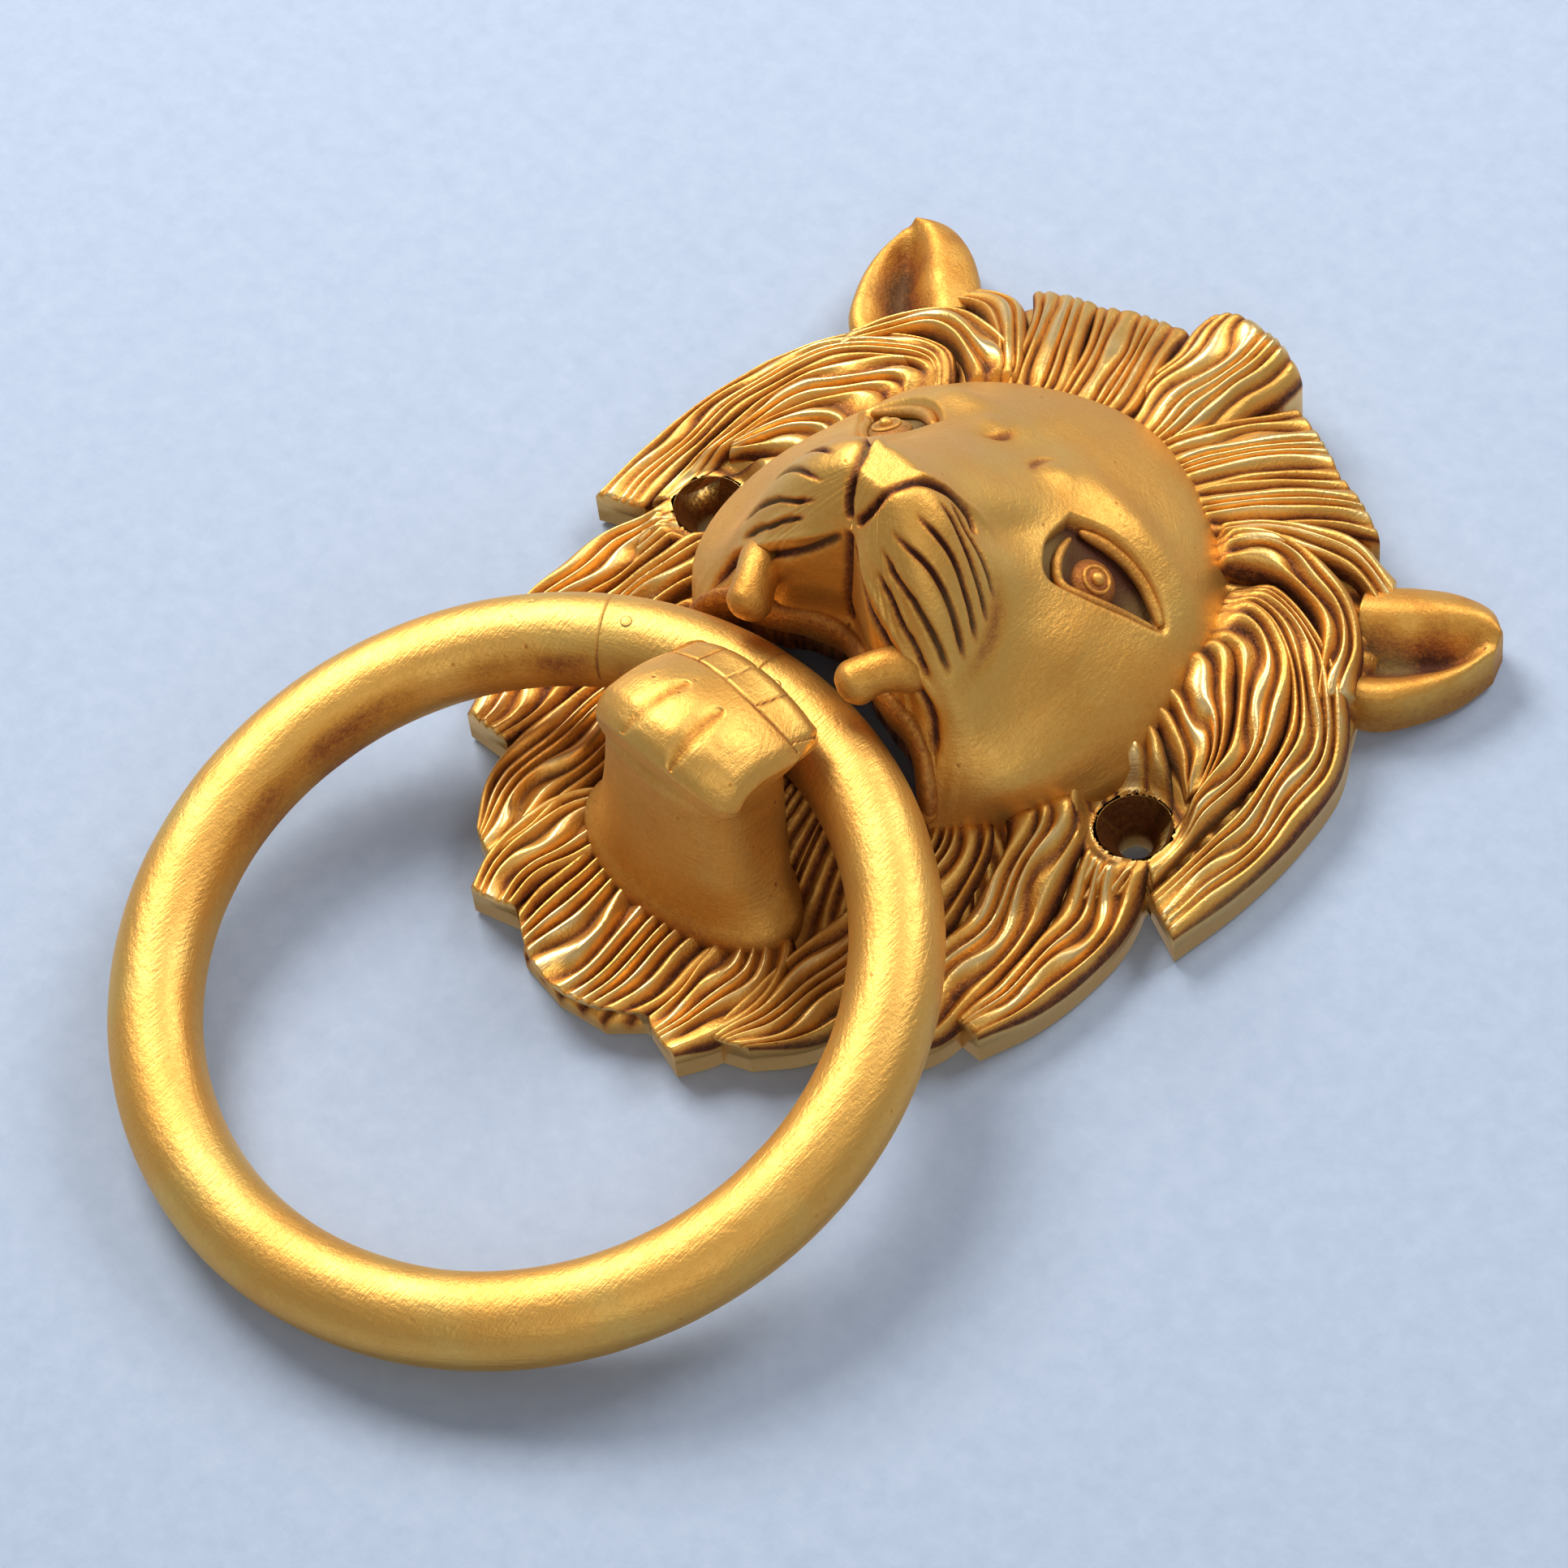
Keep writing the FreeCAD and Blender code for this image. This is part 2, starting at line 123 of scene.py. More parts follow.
def sculpted(name, rows, grime_and_shade):
    # a primitive grid whose points are moved to rows x columns of places in mm
    high, wide = rows.shape[:2]
    bpy.ops.mesh.primitive_grid_add(x_subdivisions=wide - 1, y_subdivisions=high - 1, size=1)
    piece = bpy.context.object
    piece.name = piece.data.name = name
    piece.data.vertices.foreach_set("co", (rows * mm).astype(np.float32).ravel())
    layer = piece.data.attributes.new("grime_and_shade", "FLOAT", "POINT")
    layer.data.foreach_set("value", np.broadcast_to(grime_and_shade, rows.shape[:2]).astype(np.float32).ravel())
    editMesh(piece, weld, closeEnds, outward)
    bpy.ops.object.shade_smooth()
    return piece


def joined(name, pieces):
    bpy.ops.object.select_all(action="DESELECT")
    for piece in pieces:
        piece.select_set(True)
    bpy.context.view_layer.objects.active = pieces[0]
    if len(pieces) > 1:
        bpy.ops.object.join()
    pieces[0].name = pieces[0].data.name = name
    return pieces[0]


def tube(path, radius, sides, flat=1.0, up=(0, -1, 0)):
    # round bar along a path in mm; its ends close where the radius comes to nothing
    path, radius = np.asarray(path, float), np.asarray(radius, float)
    along = unit(np.gradient(path, axis=0))
    side = unit(np.cross(along, np.asarray(up, float)))
    over = unit(np.cross(side, along))
    turn = np.linspace(0, 2 * np.pi, sides + 1)
    return (path[:, None] + radius[:, None, None] * (np.cos(turn)[None, :, None] * side[:, None]
            + flat * np.sin(turn)[None, :, None] * over[:, None]))


def rounded(count, near):
    # radius factor along a bar with domed ends; near is the share of the length each dome takes
    t = np.linspace(0, 1, count)
    head = np.sqrt(np.clip(1 - (1 - np.clip(t / near, 0, 1)) ** 2, 0, 1))
    tail = np.sqrt(np.clip(1 - (1 - np.clip((1 - t) / near, 0, 1)) ** 2, 0, 1))
    return head * tail


# finishes

def socketIn(group, name, kind="NodeSocketFloat", value=0.0):
    socket = group.interface.new_socket(name=name, in_out="INPUT", socket_type=kind)
    socket.default_value = value


def node(tree, kind, **settings):
    item = tree.nodes.new(kind)
    for key, value in settings.items():
        if key in item.inputs:
            item.inputs[key].default_value = value
        else:
            setattr(item, key, value)
    return item


def wire(tree, *pairs):
    for start, stop in pairs:
        tree.links.new(start, stop)


def ramp(tree, stops, fac):
    item = tree.nodes.new("ShaderNodeValToRGB")
    scale = item.color_ramp
    while len(scale.elements) < len(stops):
        scale.elements.new(0.5)
    for element, (place, colour) in zip(scale.elements, stops):
        element.position = place
        element.color = (*colour, 1)
    tree.links.new(fac, item.inputs["Fac"])
    return item


def maths(tree, operation, first, second, clamp=False):
    item = tree.nodes.new("ShaderNodeMath")
    item.operation, item.use_clamp = operation, clamp
    for index, value in enumerate((first, second)):
        if isinstance(value, (int, float)):
            item.inputs[index].default_value = value
        else:
            tree.links.new(value, item.inputs[index])
    return item.outputs[0]


def noise(tree, vector, scale, detail, rough=0.55):
    item = tree.nodes.new("ShaderNodeTexNoise")
    item.inputs["Scale"].default_value = scale
    item.inputs["Detail"].default_value = detail
    item.inputs["Roughness"].default_value = rough
    tree.links.new(vector, item.inputs["Vector"])
    return item.outputs["Fac"]


def patinaGroup():
    # dark, brown and bare brass from how grimy a place is, with the painted shade along joins between parts
    # carried in the same value
    group = bpy.data.node_groups.new("patina", "ShaderNodeTree")
    socketIn(group, "Vector", "NodeSocketVector", (0, 0, 0))
    socketIn(group, "Grime and shade")
    socketIn(group, "Blotches", value=0.25)
    socketIn(group, "Tint", value=0.5)
    for name, kind in (("Color", "NodeSocketColor"), ("Dirt and shade", "NodeSocketFloat"),
                       ("Cloud", "NodeSocketFloat")):
        group.interface.new_socket(name=name, in_out="OUTPUT", socket_type=kind)
    source, sink = node(group, "NodeGroupInput"), node(group, "NodeGroupOutput")
    where = source.outputs["Vector"]
    broad = noise(group, where, 42, 3)
    fine = noise(group, where, 900, 5, 0.65)
    grain = noise(group, where, 2600, 3, 0.6)
    cloud = maths(group, "MULTIPLY", maths(group, "SUBTRACT", broad, 0.5), source.outputs["Blotches"])
    speck = maths(group, "MULTIPLY", maths(group, "SUBTRACT", fine, 0.5), 0.55)
    crumb = maths(group, "MULTIPLY", maths(group, "SUBTRACT", grain, 0.5), 0.5)
    rough = maths(group, "MULTIPLY", maths(group, "ADD", speck, crumb),
                  maths(group, "ADD", source.outputs["Grime and shade"], 0.12))
    total = maths(group, "ADD", maths(group, "ADD", source.outputs["Grime and shade"], cloud), rough, clamp=True)
    colour = ramp(group, ((0.0, (0.90, 0.61, 0.25)), (0.16, (0.79, 0.45, 0.11)), (0.42, (0.64, 0.30, 0.05)),
                          (0.68, (0.36, 0.12, 0.025)), (1.0, (0.09, 0.026, 0.010))), total)
    green = node(group, "ShaderNodeMix", data_type="RGBA", blend_type="MIX")
    green.inputs["B"].default_value = (0.70, 0.52, 0.15, 1)
    patches = ramp(group, ((0.5, (0, 0, 0)), (0.72, (1, 1, 1))), noise(group, where, 60, 2))
    patch = maths(group, "MULTIPLY", patches.outputs["Color"], source.outputs["Tint"])
    wire(group, (patch, green.inputs["Factor"]), (colour.outputs["Color"], green.inputs["A"]),
         (green.outputs["Result"], sink.inputs["Color"]), (total, sink.inputs["Dirt and shade"]),
         (broad, sink.inputs["Cloud"]))
    return group


def scratchGroup():
    # fine file marks across the work, as a height
    group = bpy.data.node_groups.new("fileMarks", "ShaderNodeTree")
    socketIn(group, "Vector", "NodeSocketVector", (0, 0, 0))
    socketIn(group, "Fine", value=1.0)
    group.interface.new_socket(name="Height", in_out="OUTPUT", socket_type="NodeSocketFloat")
    source, sink = node(group, "NodeGroupInput"), node(group, "NodeGroupOutput")
    marks = []
    for turn, squeeze in (((0.3, 0.5, 0.2), (3200, 140, 300)), ((1.1, -0.4, 0.9), (260, 2700, 160))):
        mapping = node(group, "ShaderNodeMapping", Rotation=turn, Scale=squeeze)
        wire(group, (source.outputs["Vector"], mapping.inputs["Vector"]))
        marks.append(noise(group, mapping.outputs["Vector"], 1.0, 2, 0.5))
    wire(group, (maths(group, "MULTIPLY", maths(group, "ADD", marks[0], marks[1]), source.outputs["Fine"]),
                 sink.inputs["Height"]))
    return group


def pitGroup():
    # scattered casting pits, 1 inside a pit
    group = bpy.data.node_groups.new("castingPits", "ShaderNodeTree")
    socketIn(group, "Vector", "NodeSocketVector", (0, 0, 0))
    socketIn(group, "Amount", value=0.5)
    group.interface.new_socket(name="Pit", in_out="OUTPUT", socket_type="NodeSocketFloat")
    source, sink = node(group, "NodeGroupInput"), node(group, "NodeGroupOutput")
    cells = node(group, "ShaderNodeTexVoronoi", Scale=420.0)
    wire(group, (source.outputs["Vector"], cells.inputs["Vector"]))
    spot = ramp(group, ((0.06, (1, 1, 1)), (0.17, (0, 0, 0))), cells.outputs["Distance"])
    some = ramp(group, ((0.56, (0, 0, 0)), (0.66, (1, 1, 1))), noise(group, source.outputs["Vector"], 130, 2))
    both = maths(group, "MULTIPLY", spot.outputs["Color"], some.outputs["Color"])
    wire(group, (maths(group, "MULTIPLY", both, source.outputs["Amount"]), sink.inputs["Pit"]))
    return group


groups = {"patina": patinaGroup(), "fileMarks": scratchGroup(), "castingPits": pitGroup()}


def placed(tree, name, **settings):
    item = tree.nodes.new("ShaderNodeGroup")
    item.node_tree = groups[name]
    for key, value in settings.items():
        item.inputs[key].default_value = value
    return item


def brass(name, blotches, tint, roughness, base, pits, marks=1.0, grain=1.0):
    # base is the grime everywhere, added to what each place has of its own
    material = bpy.data.materials.new(name)
    material.use_nodes = True
    tree = material.node_tree
    shader = tree.nodes["Principled BSDF"]
    where = node(tree, "ShaderNodeTexCoord").outputs["Object"]
    # this attribute holds patina in the hollows and also painted shade along the joins between parts
    layer = node(tree, "ShaderNodeAttribute", attribute_name="grime_and_shade")
    pit = placed(tree, "castingPits", Amount=pits)
    patina = placed(tree, "patina", Blotches=blotches, Tint=tint)
    lines = placed(tree, "fileMarks", Fine=marks)
    for item in (pit, patina, lines):
        wire(tree, (where, item.inputs["Vector"]))
    grime_and_shade = maths(tree, "ADD", maths(tree, "ADD", layer.outputs["Fac"], base),
                  maths(tree, "MULTIPLY", pit.outputs["Pit"], 0.6))
    wire(tree, (grime_and_shade, patina.inputs["Grime and shade"]), (patina.outputs["Color"], shader.inputs["Base Color"]))
    dirt_and_shade = patina.outputs["Dirt and shade"]
    metal = maths(tree, "SUBTRACT", 1.0, maths(tree, "MULTIPLY", dirt_and_shade, 0.35))
    wire(tree, (metal, shader.inputs["Metallic"]))
    gloss = maths(tree, "ADD", maths(tree, "MULTIPLY", dirt_and_shade, 0.30),
                  maths(tree, "MULTIPLY", patina.outputs["Cloud"], 0.16))
    gloss = maths(tree, "ADD", gloss, maths(tree, "MULTIPLY", lines.outputs["Height"], 0.06))
    wire(tree, (maths(tree, "ADD", gloss, roughness - 0.08), shader.inputs["Roughness"]))
    sand = maths(tree, "MULTIPLY", noise(tree, where, 1500, 4, 0.7),
                 maths(tree, "ADD", maths(tree, "MULTIPLY", dirt_and_shade, 2.2 * grain), 0.15))
    height = maths(tree, "ADD", maths(tree, "MULTIPLY", lines.outputs["Height"], 0.35), sand)
    height = maths(tree, "SUBTRACT", height, maths(tree, "MULTIPLY", pit.outputs["Pit"], 1.6))
    bump = node(tree, "ShaderNodeBump", Strength=0.55, Distance=0.00022)
    wire(tree, (height, bump.inputs["Height"]), (bump.outputs["Normal"], shader.inputs["Normal"]))
    return material


finishes = {
    "face": brass("satinFace", blotches=0.34, tint=0.3, roughness=0.33, base=0.30, marks=0.8, pits=0.5),
    "hair": brass("chasedHair", blotches=0.22, tint=0.15, roughness=0.29, base=-0.02, pits=0.3, grain=1.5),
    "jaw": brass("filedJaw", blotches=0.22, tint=0.4, roughness=0.30, base=0.15, marks=1.2, pits=1.0),
    "ring": brass("handledRing", blotches=0.26, tint=0.5, roughness=0.28, base=0.14, marks=1.6, pits=0.55),
}


def dressed(piece, finish, body="mask", nodes=()):
    piece.data.materials.clear()
    piece.data.materials.append(finishes[finish])
    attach(piece, body)
    if nodes:
        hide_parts(*nodes)
    print(piece.name, len(piece.data.polygons), "faces")


# mane: a raised plate with a scalloped edge, and the locks chased on it

mane = {"edge": 6.6, "domeHalf": 58.0, "domeRise": 62.0, "domeDepth": 20.0, "domeLevel": 20.0,
        "hole": (33.2, 36.7), "holeLevel": 9.5, "inset": 0.7, "strands": 112, "across": 1050, "out": 36,
        "screwAt": 42.5, "screwSeat": 8.4, "lockRows": 64, "strandColumns": 14}
outlineRight = ((0.0, 75.0), (5.0, 73.6), (8.2, 68.3), (16, 66.2), (24, 62.5), (33, 59.8), (41.5, 55.4),
                (47, 47), (51, 37.5), (56, 29), (58.4, 18.5), (59.2, 5), (58, -8.8), (50.4, -5.6),
                (52.4, -12), (53, -20), (52.3, -29), (49.5, -38.6), (46.2, -37.6), (45.8, -43),
                (43.2, -48.4), (35.3, -47.3), (34.6, -51.5), (32, -55), (27.6, -61), (22.3, -63.6),
                (20.6, -68.6), (13.5, -66.3), (8.5, -71), (0.0, -72.3))


def maneDepth(x, z):
    dome = 1 - (x / mane["domeHalf"]) ** 2 - ((z - mane["domeLevel"]) / mane["domeRise"]) ** 2
    dome = mane["domeDepth"] * np.sqrt(np.clip(dome, 0, 1))
    return (mane["edge"] ** 6 + dome ** 6) ** (1 / 6)


def strandShape(phase, flat=0.62):
    # 0 in the groove, 1 on the crest
    return (0.5 - 0.5 * np.cos(2 * np.pi * phase)) ** flat


def holeSeat(depth, x, z):
    # the hair is cut back flat round each screw hole
    away = np.hypot(np.abs(x) - mane["screwAt"], z)
    return depth + (mane["screwSeat"] - depth) * smooth(8.8, 6.0, away)


def perStrand(phase, seed):
    # one random height for each strand
    return lumps(np.stack([np.floor(phase) + 0.5, np.full_like(phase, 0.5)], -1), 1.0, seed)


def drill():
    # one tool for both countersunk screw holes
    tools = []
    # radius and place along the bore
    profile = np.array([(0, 3.0), (2.5, 3.0), (2.5, -4.0), (5.4, -8.2), (5.6, -26.0), (0, -26.0)])
    turn = np.linspace(0, 2 * np.pi, 49)
    for side in (-1, 1):
        rows = np.stack([profile[:, :1] * np.cos(turn) + side * mane["screwAt"],
                         np.repeat(profile[:, 1:], len(turn), axis=1), profile[:, :1] * np.sin(turn)], -1)
        tools.append(sculpted("screwTool", rows, 0.75))
    return joined("screwTools", tools)


def bored(piece, tool):
    bpy.ops.object.select_all(action="DESELECT")
    bpy.context.view_layer.objects.active = piece
    piece.select_set(True)
    cutter = piece.modifiers.new("screwHoles", "BOOLEAN")
    cutter.operation, cutter.solver, cutter.object = "DIFFERENCE", "MANIFOLD", tool
    bpy.ops.object.modifier_apply(modifier=cutter.name)
    return piece


def buildPlate(tool):
    right = np.array(outlineRight)
    loop = np.concatenate([right, (right * (-1, 1))[::-1][1:]])
    steps = np.linalg.norm(np.diff(loop, axis=0), axis=1)
    reach = np.concatenate([[0], np.cumsum(steps)]) / steps.sum()
    u = np.linspace(0, 1, mane["across"] + 1)
    edge = np.stack([np.interp(u, reach, loop[:, 0]), np.interp(u, reach, loop[:, 1])], -1)
    along = unit(np.roll(edge, -3, axis=0) - np.roll(edge, 3, axis=0))
    edge = edge + np.stack([along[:, 1], -along[:, 0]], -1) * mane["inset"]
    edge[-1] = edge[0]
    angle = np.unwrap(np.arctan2(edge[:, 0], edge[:, 1] - 6))
    angle = np.maximum.accumulate(angle) + np.linspace(0, 0.4, len(angle))  # no two the same
    angle = angle[0] + (angle - angle[0]) * 2 * np.pi / (angle[-1] - angle[0])
    hole = np.stack([mane["hole"][0] * np.sin(angle),
                     mane["holeLevel"] + mane["hole"][1] * np.cos(angle)], -1)
    v = np.linspace(0, 1, mane["out"])[:, None, None]
    flat = hole[None] * (1 - v) + edge[None] * v
    x, z = flat[..., 0], flat[..., 1]
    phase = mane["strands"] * u[None] + 0.4 * lumps(flat, 7.0, 3)
    ridge = strandShape(phase)
    depth = maneDepth(x, z) - 0.9 * (1 - ridge) - 2.3 + 0.25 * perStrand(phase, 5)
    depth = holeSeat(depth - 0.8 * smooth(0.94, 1.0, v[..., 0]), x, z)
    grime_and_shade = np.clip(0.30 + 0.65 * (1 - ridge) + 0.1 * lumps(flat, 3.0, 8), 0, 1)
    top = np.stack([x, -depth, z], -1)
    low = np.stack([edge[:, 0], 0 * u, edge[:, 1]], -1)[None]
    inner = np.stack([hole[:, 0], 0 * u, hole[:, 1]], -1)[None]
    rows = np.concatenate([inner, top, low, inner])
    grime_and_shade = np.concatenate([0 * u[None] + 0.6, grime_and_shade, 0 * u[None] + 0.15, 0 * u[None] + 0.6])
    plate = bored(sculpted("mane_plate_body", rows, grime_and_shade), tool)
    dressed(plate, "hair", nodes=["mane_plate"])


# each lock of hair: one edge, the other edge, strands, how far it stands up, and the bow of its end
locksRight = (
    ("crownInner", ((3.5, 49.0), (6.5, 57), (9.5, 64.5), (10.5, 68.0)),
     ((14.5, 45), (18.5, 54), (22.5, 60), (24.5, 62.6)), 7, 0.5, 0.6),
    ("crownMiddle", ((13.5, 46), (18.5, 54), (22.5, 60), (24, 63)),
     ((22, 41.5), (27, 50), (31, 56), (34.5, 59.6)), 5, 1.1, 0.4),
    ("crownOuter", ((21, 44), (27, 51), (33, 56), (40.5, 56.5)),
     ((25, 42), (31, 47.5), (37, 50.5), (45.5, 49.5)), 3, 1.9, 0.0),
    ("temple", ((22, 44.5), (31, 48.5), (39, 48.6), (45.5, 44), (50, 37.5)),
     ((27, 38), (34, 41.5), (39.5, 40.5), (44, 36), (47.5, 31)), 3, 2.6, 0.0),
    ("sideMiddle", ((31, 37.5), (40, 35), (46.5, 28), (49.8, 18), (50.2, 7), (50.3, -4.6)),
     ((34.5, 27), (40.5, 22.5), (44.5, 16), (46, 9), (46.8, 3), (47.5, -3)), 3, 1.2, 0.0),
    ("sideOuter", ((31, 40), (42, 39.5), (50.4, 35.5), (56, 28), (58.6, 17), (59.2, 4), (58, -8.8)),
     ((32, 34.5), (41, 32.5), (47.5, 25.5), (50.6, 16), (51.2, 6), (50.6, -5.6)), 5, 1.5, 0.4),
    ("sideInner", ((34, 29), (40, 24), (44.5, 17), (46.8, 10)),
     ((36, 11), (39, 10), (42, 9), (45.5, 7)), 4, 1.0, 0.0),
    ("cheekLow", ((36, 12), (41, 9), (45, 5), (47.5, -1), (48.5, -8)),
     ((35, -6), (37.5, -6.5), (40, -8), (42, -11), (43.5, -15)), 4, 0.6, 0.0),
    ("whiskerOuter", ((45.5, 0), (49.8, -6), (52.4, -13), (53, -21), (52.2, -30), (49.5, -38.6)),
     ((38.5, -5), (42, -13), (44, -21), (44.8, -30), (45.2, -38.6)), 4, 1.0, 0.0),
    ("whiskerInner", ((37, -3), (41.5, -12), (44, -22), (45.6, -32), (45.8, -42), (43.2, -48.4)),
     ((31.5, -14), (34, -22), (34.5, -31), (34, -40), (35.3, -48)), 4, 1.4, 0.3),
    ("beardSide", ((30.5, -15.5), (33.5, -25), (34.5, -36), (35.2, -46), (32.5, -55), (27.6, -61)),
     ((22, -24), (21, -34), (20.5, -44), (20.5, -54), (21.8, -63.4)), 6, 0.9, 0.5),
    ("beardLow", ((19, -44), (23.5, -50), (24.5, -57), (23.5, -63), (20.6, -68.6)),
     ((9.5, -50), (12, -56), (13.5, -61), (13.5, -66.6)), 5, 1.2, 0.8),
)
beardMiddle = ("beardMiddle", ((12.5, -50), (14, -57), (14.2, -62), (13.0, -66.4)),
               ((-12.5, -50), (-14, -57), (-14.2, -62), (-13.0, -66.4)), 11, 0.6, 5.9)


def rooted(edge):
    # carries the start of an edge in under the face or the neck
    start = np.array(edge[0], float)
    middle = np.array((0, 9.5)) if start[1] > -26 else np.array((0, -40.0))
    return [tuple(middle + (start - middle) * 0.90), *edge]


def lockShape(name, first, second, strands, lift, bow, seed, side=1, level=None, groove=1.25):
    # v runs from the root to the tip of a lock, u across its strands
    v = np.linspace(0, 1, mane["lockRows"])
    a, b = (through(rooted(edge), v) for edge in (first, second))
    u = np.linspace(0, 1, strands * mane["strandColumns"] + 1)
    flat = a[:, None] * (1 - u)[None, :, None] + b[:, None] * u[None, :, None]
    onward = unit((a[-1] + b[-1]) - (a[-4] + b[-4]))
    flat = flat + onward * (bow * v[:, None] ** 2 * 4 * u * (1 - u))[..., None]
    x, z = flat[..., 0], flat[..., 1]
    width = np.linalg.norm(a - b, axis=1)[:, None]
    inside = np.sin(np.pi * u)[None]
    phase = strands * (u[None] + 0.05 * inside * np.sin(2 * np.pi * (u[None] * 1.7 + seed * 0.37)))
    wave = 0.06 if name.startswith("crown") else 0.34
    bends = np.linalg.norm(np.diff((a + b) / 2, axis=0), axis=1).sum() / 17.0
    phase = phase + wave * inside * np.sin(2 * np.pi * (v[:, None] * bends + 0.35 * u[None] + seed * 0.29))
    cells = np.stack([np.broadcast_to(u * strands * 0.6, flat.shape[:2]),
                      np.broadcast_to(v[:, None] * 3.2, flat.shape[:2])], -1)
    phase = phase + 0.30 * inside * lumps(cells, 1.0, seed)
    ridge = strandShape(phase, 0.42 if name.startswith("cr") else 0.62)
    ends = smooth(0.02, 0.14, v) * (1 - 0.6 * smooth(0.8, 1, v))
    cut = groove * np.clip(width / strands / 1.7, 0.3, 1.3) * ends[:, None]
    crown = (4 * u * (1 - u))[None] ** 0.45
    rise = (0.25 + 0.75 * np.sin(np.pi * np.clip(v * 0.85 + 0.08, 0, 1)))[:, None]
    depth = level(x, v[:, None], u[None]) if level else maneDepth(x, z)
    depth = depth + lift * crown * rise - cut * (1 - ridge) * 1.1 - 0.5 * (1 - crown)
    depth = depth + 0.42 * perStrand(phase, seed + 50) * inside + 0.12 * lumps(flat, 3.5, seed + 9)
    depth = holeSeat(depth - 2.2 * (1 - smooth(0.0, 0.09, v))[:, None], x, z)
    # darker in the strand grooves as patina; darker along each lock's side edges and at its root, where it
    # meets the plate, its neighbours and the face or neck: patina together with painted shade along these
    # joins
    grime_and_shade = 0.84 * (1 - ridge) ** 1.25 * np.clip(cut, 0.5, 1) + 0.5 * (1 - crown) + 0.04
    grime_and_shade = grime_and_shade + 0.3 * (1 - smooth(0.06, 0.2, v))[:, None] + 0.14 * lumps(flat, 4.0, seed + 21)
    top = np.stack([side * x, -depth, z], -1)
    wall = top[:, [0, -1]] * (1, 0.9, 1)
    foot = wall * (1, 0, 1) + (0, -0.06, 0)
    loop = np.concatenate([foot[:, :1], wall[:, :1], top, wall[:, 1:], foot[:, 1:], foot[:, :1]], axis=1)
    clean = 0 * v[:, None] + 0.12
    patina_and_shade = np.concatenate([clean, clean, grime_and_shade, clean, clean, clean], axis=1)
    tip = loop[-1:] * (1, 0.9, 1) + np.array((side * onward[0], 0, onward[1])) * 0.04
    patina_and_shade = np.concatenate([patina_and_shade, 0 * patina_and_shade[-1:] + 0.12])
    return sculpted(name, np.concatenate([loop, tip]), np.clip(patina_and_shade, 0, 1))


def buildLocks(tool):
    nearHole = ("sideMiddle", "sideInner", "cheekLow", "whiskerOuter", "whiskerInner")
    for side, word in ((1, "right"), (-1, "left")):
        pieces = []
        for index, (name, *shape) in enumerate(locksRight):
            piece = lockShape(name, *shape, seed=index * 3 + (side < 0), side=side)
            pieces.append(bored(piece, tool) if name in nearHole else piece)
        if side > 0:
            pieces.append(lockShape(*beardMiddle, seed=77))
        dressed(joined("mane_locks_" + word, pieces), "hair")


# crest: the tuft over the forehead

crest = {"depth": 17.5, "strands": 8, "lift": 0.4, "bow": 0.8, "groove": 0.9,
         "edge": ((6.0, 48.5), (8.6, 55), (8.2, 62), (9.2, 67.5), (8.6, 71.6), (5.0, 74.2))}


def crestLevel(x, v, u):
    fall = 1 - 0.42 * smooth(0.8, 1.0, v) ** 1.5 + 0.05 * smooth(0.45, 0.8, v) - 0.05 * smooth(0.5, 0.1, v)
    return crest["depth"] * fall * np.ones_like(x) + 0.4 - 4.2 * np.abs(2 * u - 1) ** 2.6


def buildCrest():
    second = tuple((-x, z) for x, z in crest["edge"])
    tuft = lockShape("crest_tuft", crest["edge"], second, crest["strands"], crest["lift"], crest["bow"],
                     seed=31, level=crestLevel, groove=crest["groove"])
    dressed(tuft, "hair", nodes=["crest"])


# face: level curves from the rim at the mane to the tip of the nose

face = {"seat": 12.0, "wall": 4.0, "columns": 420, "outer": 176, "inner": 22, "nosePad": 54.9,
        "mouth": ((0, -12.9), (5, -14.2), (9, -16.1), (13, -16.9), (17, -17.3), (20, -18.6),
                  (23.2, -21.2), (26.5, -24.5))}
faceLevels = (  # depth off the door, then points (across, up) from the top round to the bottom
    (54.5, (0, 0.8), (3.0, 0.2), (4.8, -1.6), (3.8, -3.8), (0, -4.6)),
    (52.0, (0, 3.2), (6.0, 2.0), (9.2, -1.5), (7.6, -5.8), (0, -7.2)),
    (48.0, (0, 7.0), (8.0, 4.4), (12.8, -1.0), (11.4, -8.2), (5.5, -10.6), (0, -9.3)),
    (43.0, (0, 13.0), (9.6, 10.0), (15.8, 1.0), (15.2, -10.0), (7.5, -13.2), (0, -10.2)),
    (36.0, (0, 22.5), (13.4, 17.0), (19.2, 4.0), (19.0, -12.5), (9.0, -15.0), (0, -11.3)),
    (28.0, (0, 36.0), (18.4, 27.5), (25.5, 12.0), (23.8, -14.5), (10.0, -15.9), (0, -12.3)),
    (20.0, (0, 46.0), (23.5, 35.0), (33.0, 14.0), (29.0, -16.0), (14.0, -23.0), (0, -24.0)),
    (12.0, (0, 50.5), (26.3, 38.5), (37.2, 9.5), (26.3, -19.5), (14.0, -28.2), (0, -31.5)),
)


